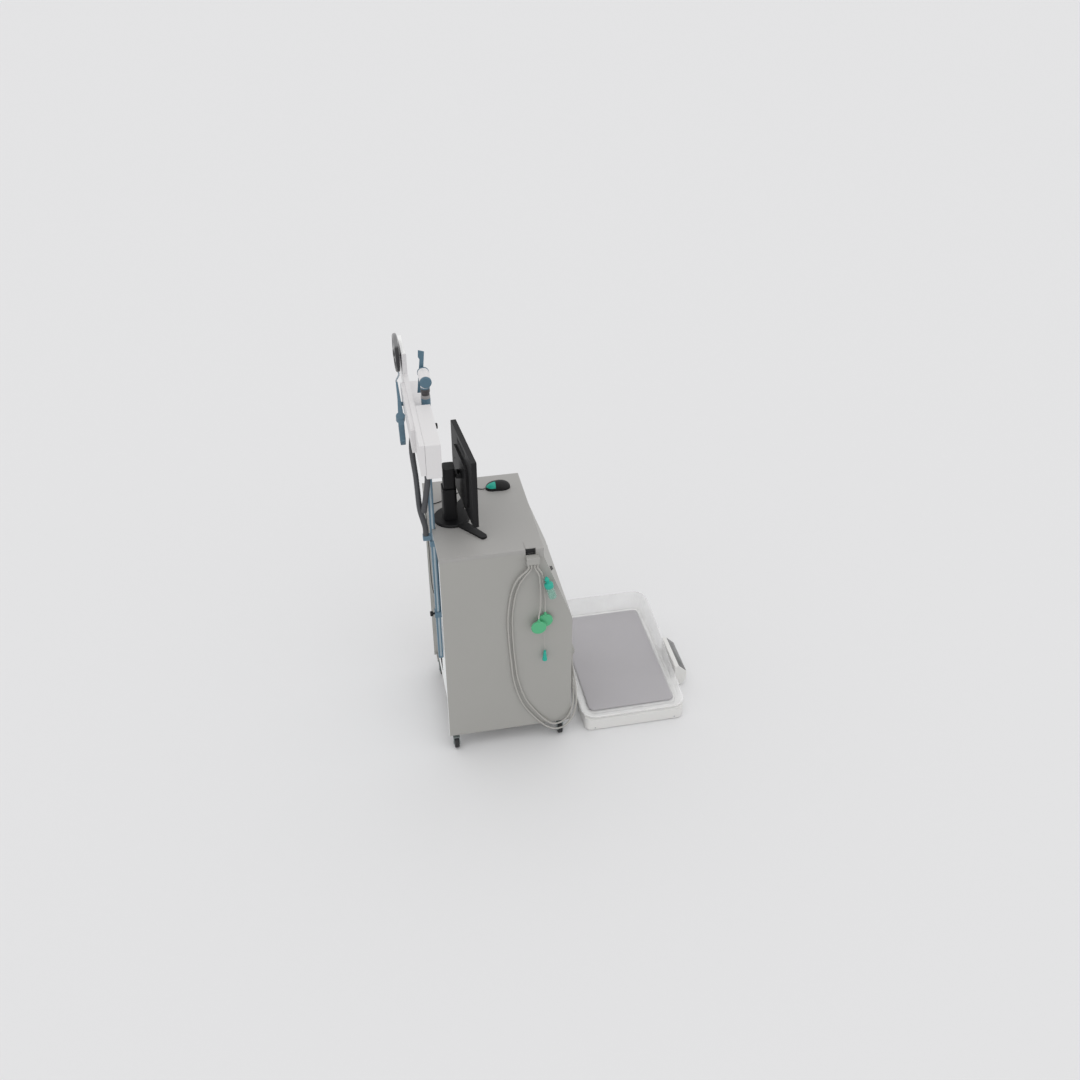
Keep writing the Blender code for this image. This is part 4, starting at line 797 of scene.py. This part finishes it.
# mask and the handpiece's grip
print("mask")
mask = {
    "cushion": [  # how far inside the rim, and how far out of its middle
        (0.0010, 0.0010), (0.0035, 0.0070), (0.0085, 0.0098), (0.0150, 0.0088), (0.0195, 0.0050),
        (0.0205, -0.0010), (0.0170, -0.0070), (0.0105, -0.0098), (0.0040, -0.0075), (0.0010, -0.0030),
    ],
    "cushionSteps": 72,
    "domeInside": 0.0224,
    "domeLip": 0.004,
    "domeSteps": 64,
}
cushionLow, cushionHigh = corners("mask_cushion")
maskMiddle = (cushionLow + cushionHigh) / 2
ringRadius = (cushionHigh.x - cushionLow.x) / 2


def maskTurned(profile, closed, steps):
    # radius and depth pairs spun round the mask's own axis
    shape = bmesh.new()
    line = [shape.verts.new(maskMiddle + Vector((radius, depth, 0))) for radius, depth in profile]
    edges = [shape.edges.new(pair) for pair in zip(line, line[1:] + line[:1] if closed else line[1:])]
    bmesh.ops.spin(
        shape, geom=line + edges, cent=maskMiddle, axis=(0, 1, 0), angle=math.tau, steps=steps, use_merge=True
    )
    bmesh.ops.remove_doubles(shape, verts=shape.verts, dist=0.00002)
    return shape


rim = [(ringRadius - inside, depth) for inside, depth in mask["cushion"]]
shape = maskTurned(rim, True, mask["cushionSteps"])
cushion = finishPiece("maskCushion", shape, maskRubber, "handpiece", 60)
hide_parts("mask_cushion")
smoother = cushion.modifiers.new("smooth", "SUBSURF")
smoother.levels = 1
smoother.render_levels = 1

innerRadius = ringRadius - mask["domeInside"]
lipRadius = innerRadius - mask["domeLip"]
domeProfile = [
    (0.0, 0.0140), (0.0150, 0.0138), (0.0175, 0.0125), (0.0180, 0.0098), (0.0260, 0.0082), (0.0400, 0.0060),
    (lipRadius, 0.0030), (innerRadius, 0.0010), (innerRadius, -0.0020), (lipRadius, -0.0010),
    (0.0400, 0.0018), (0.0200, 0.0036), (0.0, 0.0042),
]
shape = maskTurned(domeProfile, False, mask["domeSteps"])
dome = finishPiece("maskDome", shape, maskShell, "handpiece", 40)
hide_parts("mask_dome")

handle = {"start": (0.366, 0, 1.555), "end": (0.106, 0, 1.412), "half": 0.014}
ribs = {
    "count": 13,
    "first": 0.735,
    "spread": 0.225,
    "width": 0.0026,
    "proud": 0.0006,
    "over": 0.0022,
    "bevel": 0.0006,
}
gripFront = (0.0652, 0.0685)  # the grip's front and back faces, which spread towards its end
gripBack = (0.0892, 0.0912)
handleStart = at(*handle["start"])
handleWay = at(*handle["end"]) - handleStart
handleLength = handleWay.length
handleWay.normalize()
handleAcross = handleWay.cross(Vector((0, 1, 0)))
handleTurn = Matrix((handleWay, (0, 1, 0), handleAcross)).transposed().to_4x4()
shape = bmesh.new()
for index in range(ribs["count"]):
    share = ribs["first"] + ribs["spread"] * index / (ribs["count"] - 1)
    front = gripFront[0] + (gripFront[1] - gripFront[0]) * (share - 0.7) / 0.3
    back = gripBack[0] + (gripBack[1] - gripBack[0]) * max(0.0, share - 0.8) / 0.2
    middle = handleStart + handleWay * handleLength * share + Vector((0, (front + back) / 2, 0))
    size = (ribs["width"], back - front + ribs["proud"], 2 * handle["half"] + ribs["over"])
    roundedBlock(shape, middle, size, ribs["bevel"], handleTurn)
gripRibs = finishPiece("gripRibs", shape, slate, "handpiece")

# arm: screws, the end plate's cap and the housing's seam
print("arm")
arm = {
    "screwsAlong": (0.014, 0.300),
    "screwsInside": 0.016,
    "screw": 0.0034,
    "seamRise": 0.018,
    "seamEnds": 0.010,
}
armLow, armHigh = corners("arm_housing")
shape = bmesh.new()
for along in arm["screwsAlong"]:
    for z in (armLow.z + arm["screwsInside"], armHigh.z - arm["screwsInside"]):
        screwHead(shape, (armLow.x + along, armLow.y, z), (0, -1, 0), arm["screw"])
armScrews = finishPiece("armScrews", shape, steel, "arm")

plate = {"start": 0.389, "back": 0.0403, "thick": 0.0005, "deep": 0.0165, "inside": 0.001, "bevel": 0.0001}
plateStart = origin.x + plate["start"]
plateMiddle = (
    (plateStart + railHigh.x) / 2,
    origin.y + plate["back"] - plate["deep"] / 2,
    railHigh.z + plate["thick"] / 2,
)
plateSize = (
    railHigh.x - plateStart - 2 * plate["inside"],
    plate["deep"] - plate["inside"],
    plate["thick"],
)
shape = bmesh.new()
roundedBlock(shape, plateMiddle, plateSize, plate["bevel"])
plateCap = finishPiece("endPlateCap", shape, capWhite, "arm")

shape = bmesh.new()
seamMiddle = ((armLow.x + armHigh.x) / 2, armLow.y - 0.0001, armLow.z + arm["seamRise"])
roundedBlock(shape, seamMiddle, (armHigh.x - armLow.x - arm["seamEnds"], 0.0006, 0.0010), 0)
armSeam = finishPiece("armSeam", shape, shadowGap, "arm")

# cabinet: screws, pale edge strips painted to lighten the shaded rear recess, the mast's painted highlight
# strips, louvres, grommet and casters
print("cabinet")
panelScrew = {"inside": 0.014, "ends": 0.030, "levels": (0.36, 0.64, 0.90), "radius": 0.0042}
backLow, backHigh = corners("back_panel")
screwLevels = (backLow.z + panelScrew["ends"], *panelScrew["levels"], backHigh.z - panelScrew["ends"])
shape = bmesh.new()
for x in (backLow.x + panelScrew["inside"], backHigh.x - panelScrew["inside"]):
    for z in screwLevels:
        screwHead(shape, (x, backHigh.y, z), (0, 1, 0), panelScrew["radius"])
backScrews = finishPiece("backScrewHeads", shape, steel, "cabinet")

# painted light: pale strips on the side panels' rear edges, lightening the shaded recess round the back panel
band = {"width": 0.0176, "thick": 0.0006, "middle": 0.009, "ends": 0.002, "bevel": 0.0002}
sideLow, sideHigh = corners("side_panel_left")
bandSize = (band["width"], band["thick"], sideHigh.z - sideLow.z - band["ends"])
shape = bmesh.new()
for x in (sideLow.x + band["middle"], 2 * origin.x - sideLow.x - band["middle"]):
    middle = (x, sideHigh.y + band["thick"] / 2, (sideLow.z + sideHigh.z) / 2)
    roundedBlock(shape, middle, bandSize, band["bevel"])
edgePaintedLight = finishPiece("rearEdgePaintedLight", shape, backWhite, "cabinet")

mastLow, mastHigh = corners("mast")
# painted highlight: pale blue-grey strips down the middle of the mast's two sides
strip = {"width": 0.007, "thick": 0.0002, "ends": 0.012}
stripSize = (strip["thick"], strip["width"], mastHigh.z - mastLow.z - 2 * strip["ends"])
shape = bmesh.new()
for way in (-1, 1):
    across = mastSize["x"] + way * (mastSize["half"] + strip["thick"] / 2)
    roundedBlock(shape, at(across, mastSize["y"], (mastLow.z + mastHigh.z) / 2), stripSize, 0)
mastHighlightStrips = finishPiece("mastHighlightStrips", shape, mastHighlightPaint, "mast")

# painted shade: dark sheets on the back wall and floor of the hose holder's notch
notch = {"wall": (0.0005, 0.041, 0.022), "floor": (0.010, 0.041, 0.0005), "depth": -0.380, "bevel": 0.0002}
shape = bmesh.new()
wallMiddle = at(-halfWidth + 0.0117, notch["depth"], topLevel - 0.015)
floorMiddle = at(-halfWidth + 0.006, notch["depth"], topLevel - 0.0268)
roundedBlock(shape, wallMiddle, notch["wall"], notch["bevel"])
roundedBlock(shape, floorMiddle, notch["floor"], notch["bevel"])
notchShade = finishPiece("notchShade", shape, shadowGap, "cabinet")

louvre = {
    "columns": 2,
    "rows": 9,
    "start": (0.090, 0.175),
    "pitch": (0.078, 0.0125),
    "size": (0.066, 0.0012, 0.0045),
}
shape = bmesh.new()
for column in range(louvre["columns"]):
    for row in range(louvre["rows"]):
        x = origin.x + louvre["start"][0] + column * louvre["pitch"][0]
        z = louvre["start"][1] + row * louvre["pitch"][1]
        roundedBlock(shape, (x, backHigh.y + 0.0004, z), louvre["size"], 0.0005)
louvres = finishPiece("backLouvres", shape, shadowGap, "cabinet")

grommet = {"outer": 0.0075, "rise": 0.0030}
middle = at(cableExit[0], cableExit[1] + grommet["rise"] / 2, cableExit[2])
shape = bmesh.new()
bmesh.ops.create_cone(
    shape, cap_ends=True, segments=32, radius1=grommet["outer"], radius2=grommet["outer"] * 0.75,
    depth=grommet["rise"], matrix=facing(middle, (0, 1, 0)),
)
cableGrommet = finishPiece("cableGrommet", shape, darkPlastic, "cabinet")

caster = {
    "cap": 0.0046,
    "capRise": 0.0014,
    "capOut": 0.0049,
    "hub": (0.0170, 0.0160),
    "hubRise": 0.0008,
    "hubOut": 0.0003,
}
for corner in casterCorners:
    wheelLow, wheelHigh = corners("caster_wheel_" + corner)
    middle = (wheelLow + wheelHigh) / 2
    half = (wheelHigh.y - wheelLow.y) / 2
    shape = bmesh.new()
    for way in (-1, 1):
        screwHead(
            shape, middle + Vector((0, way * (half + caster["capOut"]), 0)), (0, way, 0),
            caster["cap"], caster["capRise"],
        )
    capPiece = finishPiece("axleCaps_" + corner, shape, steel, "swivel_" + corner)
    shape = bmesh.new()
    for way in (-1, 1):
        bmesh.ops.create_cone(
            shape, cap_ends=True, segments=32, radius1=caster["hub"][0], radius2=caster["hub"][1],
            depth=caster["hubRise"],
            matrix=facing(middle + Vector((0, way * (half + caster["hubOut"]), 0)), (0, way, 0)),
        )
    hubPiece = finishPiece("wheelHub_" + corner, shape, casterPaint, "wheel_" + corner)

# the knob's pointer
knob = {"side": 0.052, "down": 0.115, "rise": 0.0102, "pointer": (0.0012, 0.0055, 0.0006), "off": 0.0035}
console = {"top": -0.435, "run": -0.127, "low": 0.694, "lip": 0.041}
consoleTop = topLevel - console["lip"]
drop = Vector((0, console["run"], console["low"] - consoleTop)).normalized()
outward = Vector((0, drop.z, -drop.y))
outward = outward if outward.z > 0 else -outward
knobFoot = at(-halfWidth + knob["side"], console["top"], consoleTop) + drop * knob["down"] + outward * gap
knobTurn = facing(knobFoot + outward * knob["rise"], outward)
shape = bmesh.new()
bmesh.ops.create_cube(
    shape, size=1.0,
    matrix=knobTurn @ Matrix.Translation((0, knob["off"], 0)) @ Matrix.Diagonal((*knob["pointer"], 1.0)),
)
pointer = finishPiece("knobPointer", shape, armWhite, "console_knob")

# scale: mat, display and screws
print("scale")
matLow, matHigh = corners("tray_mat")
pad = {"corner": 0.026, "crown": 0.0014, "edge": 0.0032, "steps": 6, "cuts": 14}
matMiddle = (matLow + matHigh) / 2
matHalf = (matHigh - matLow) / 2


def cornered(halfX, halfY, radius, steps, along):
    # points round a rectangle with round corners, the straight sides cut in along pieces
    points = []
    for quarter, (sideX, sideY) in enumerate(((1, 1), (-1, 1), (-1, -1), (1, -1))):
        for step in range(steps + 1):
            turn = math.pi / 2 * (quarter + step / steps)
            points.append(Vector((
                sideX * (halfX - radius) + radius * math.cos(turn),
                sideY * (halfY - radius) + radius * math.sin(turn),
                0,
            )))
    dense = []
    for first, second in zip(points, points[1:] + points[:1]):
        cuts = along if (first - second).length > 0.06 else 1
        dense += [first.lerp(second, share / cuts) for share in range(cuts)]
    return dense


shape = bmesh.new()
edge = pad["edge"]
shoulder = matHigh.z - pad["crown"]
levels = [
    (edge, matLow.z), (edge * 0.3, matLow.z + edge * 0.3), (0, matLow.z + edge),
    (0, shoulder - edge), (edge * 0.3, shoulder - edge * 0.3), (edge, shoulder),
]
for inset in (0.012, 0.026, 0.045, 0.070, 0.100, 0.140, 0.180):
    rise = 1 - (1 - min(1.0, inset / 0.10)) ** 2
    levels.append((inset, matHigh.z - pad["crown"] * (1 - rise)))
rings = []
for inset, level in levels:
    radius = max(0.004, pad["corner"] - inset)
    outline = cornered(matHalf.x - inset, matHalf.y - inset, radius, pad["steps"], pad["cuts"])
    if rings and len(outline) != len(rings[0]):
        break
    rings.append([
        shape.verts.new((matMiddle.x + point.x, matMiddle.y + point.y, level)) for point in outline
    ])
for low, high in zip(rings, rings[1:]):
    for index in range(len(low)):
        following = (index + 1) % len(low)
        shape.faces.new((low[index], low[following], high[following], high[index]))
shape.faces.new(rings[0][::-1])
shape.faces.new(rings[-1])
matPiece = finishPiece("weighingMat", shape, matCover, "tray", 50)
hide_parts("tray_mat")

housingLow, housingHigh = corners("display_housing")
housing = {"ridge": 0.034, "edge": 0.088}
ridge = Vector((0, housingHigh.y - housing["ridge"], housingHigh.z))
foot = Vector((0, housingLow.y, housing["edge"]))
slopeWay = (foot - ridge).normalized()
slopeOut = Vector((0, slopeWay.z, -slopeWay.y)).normalized()
slopeOut = slopeOut if slopeOut.z > 0 else -slopeOut
slopeTurn = Matrix((Vector((1, 0, 0)), slopeWay, Vector((1, 0, 0)).cross(slopeWay))).transposed().to_4x4()
slopeLength = (foot - ridge).length
display = {"width": 0.212, "top": 0.04, "bottom": 0.96, "rise": 0.0010}
window = {"across": -0.026, "size": (0.100, 0.026, 0.0006)}
button = {"count": 3, "first": 0.046, "pitch": 0.018, "radius": (0.0058, 0.0050), "rise": 0.0010}
middleX = (housingLow.x + housingHigh.x) / 2


def onSlope(x, share, rise):
    return Vector((middleX + x, 0, 0)) + ridge + slopeWay * slopeLength * share + slopeOut * rise


share = (display["top"] + display["bottom"]) / 2
displaySize = (display["width"], slopeLength * (display["bottom"] - display["top"]), display["rise"])
shape = bmesh.new()
roundedBlock(shape, onSlope(0, share, display["rise"] / 2 - 0.0001), displaySize, 0.0004, slopeTurn)
panel = finishPiece("displayPanel", shape, displayFace, "scale")
shape = bmesh.new()
windowMiddle = onSlope(window["across"], share, display["rise"] + 0.0001)
roundedBlock(shape, windowMiddle, window["size"], 0.0002, slopeTurn)
lcd = finishPiece("displayWindow", shape, lcdFace, "scale")
shape = bmesh.new()
for index in range(button["count"]):
    middle = onSlope(button["first"] + index * button["pitch"], share, display["rise"] + 0.0004)
    bmesh.ops.create_cone(
        shape, cap_ends=True, segments=28, radius1=button["radius"][0], radius2=button["radius"][1],
        depth=button["rise"], matrix=facing(middle, slopeOut),
    )
buttons = finishPiece("displayButtons", shape, keyGrey, "scale")

baseScrew = {"inside": 0.045, "level": 0.014, "radius": 0.0040}
baseLow, baseHigh = corners("scale_base")
shape = bmesh.new()
for y in (baseLow.y + baseScrew["inside"], baseHigh.y - baseScrew["inside"]):
    for x, way in ((baseLow.x, -1), (baseHigh.x, 1)):
        screwHead(shape, (x, y, baseScrew["level"]), (way, 0, 0), baseScrew["radius"])
baseScrews = finishPiece("baseScrews", shape, steel, "scale")

# camera, floor and light
print("stage")
view = {
    "place": (-4.0455, 0.3368, 3.8862),
    "right": (-0.1980, -0.9802, -0.0007),
    "forward": (0.7953, -0.1602, -0.5847),
    "lens": 38.42,
}
right = Vector(view["right"]).normalized()
back = -Vector(view["forward"]).normalized()
up = back.cross(right).normalized()
right = up.cross(back)
camera = bpy.data.objects.new("camera", bpy.data.cameras.new("camera"))
camera.data.lens = view["lens"]
camera.data.sensor_width = 36.0
camera.data.clip_end = 200.0
camera.matrix_world = Matrix.Translation(at(*view["place"])) @ Matrix((right, up, back)).transposed().to_4x4()
bpy.context.scene.collection.objects.link(camera)
bpy.context.scene.camera = camera

light = {
    "world": 0.92,
    "sun": 0.24,
    "spread": 40.0,
    "lean": (-0.20, 0.0, 1.0),
    "floor": 0.775,
    "floorHalf": 60.0,
}
shape = bmesh.new()
bmesh.ops.create_grid(shape, x_segments=1, y_segments=1, size=light["floorHalf"])
mesh = bpy.data.meshes.new("floor")
shape.to_mesh(mesh)
shape.free()
floor = bpy.data.objects.new("floor", mesh)
bpy.context.scene.collection.objects.link(floor)
floorFinish = Finish("floorPaint")
floorTone = (light["floor"], light["floor"], light["floor"] * 1.01)
floor.data.materials.append(floorFinish.set(Base_Color=floorTone, Roughness=0.85, Specular_IOR_Level=0.1))

world = bpy.data.worlds.new("studio")
world.use_nodes = True
background = world.node_tree.nodes["Background"]
background.inputs["Color"].default_value = (1.0, 1.0, 1.0, 1.0)
background.inputs["Strength"].default_value = light["world"]
bpy.context.scene.world = world

sun = bpy.data.objects.new("softSun", bpy.data.lights.new("softSun", "SUN"))
sun.data.energy = light["sun"]
sun.data.angle = math.radians(light["spread"])
sun.rotation_euler = Vector(light["lean"]).to_track_quat("Z", "Y").to_euler()
bpy.context.scene.collection.objects.link(sun)
bpy.context.scene.view_settings.view_transform = "Standard"

print("done")
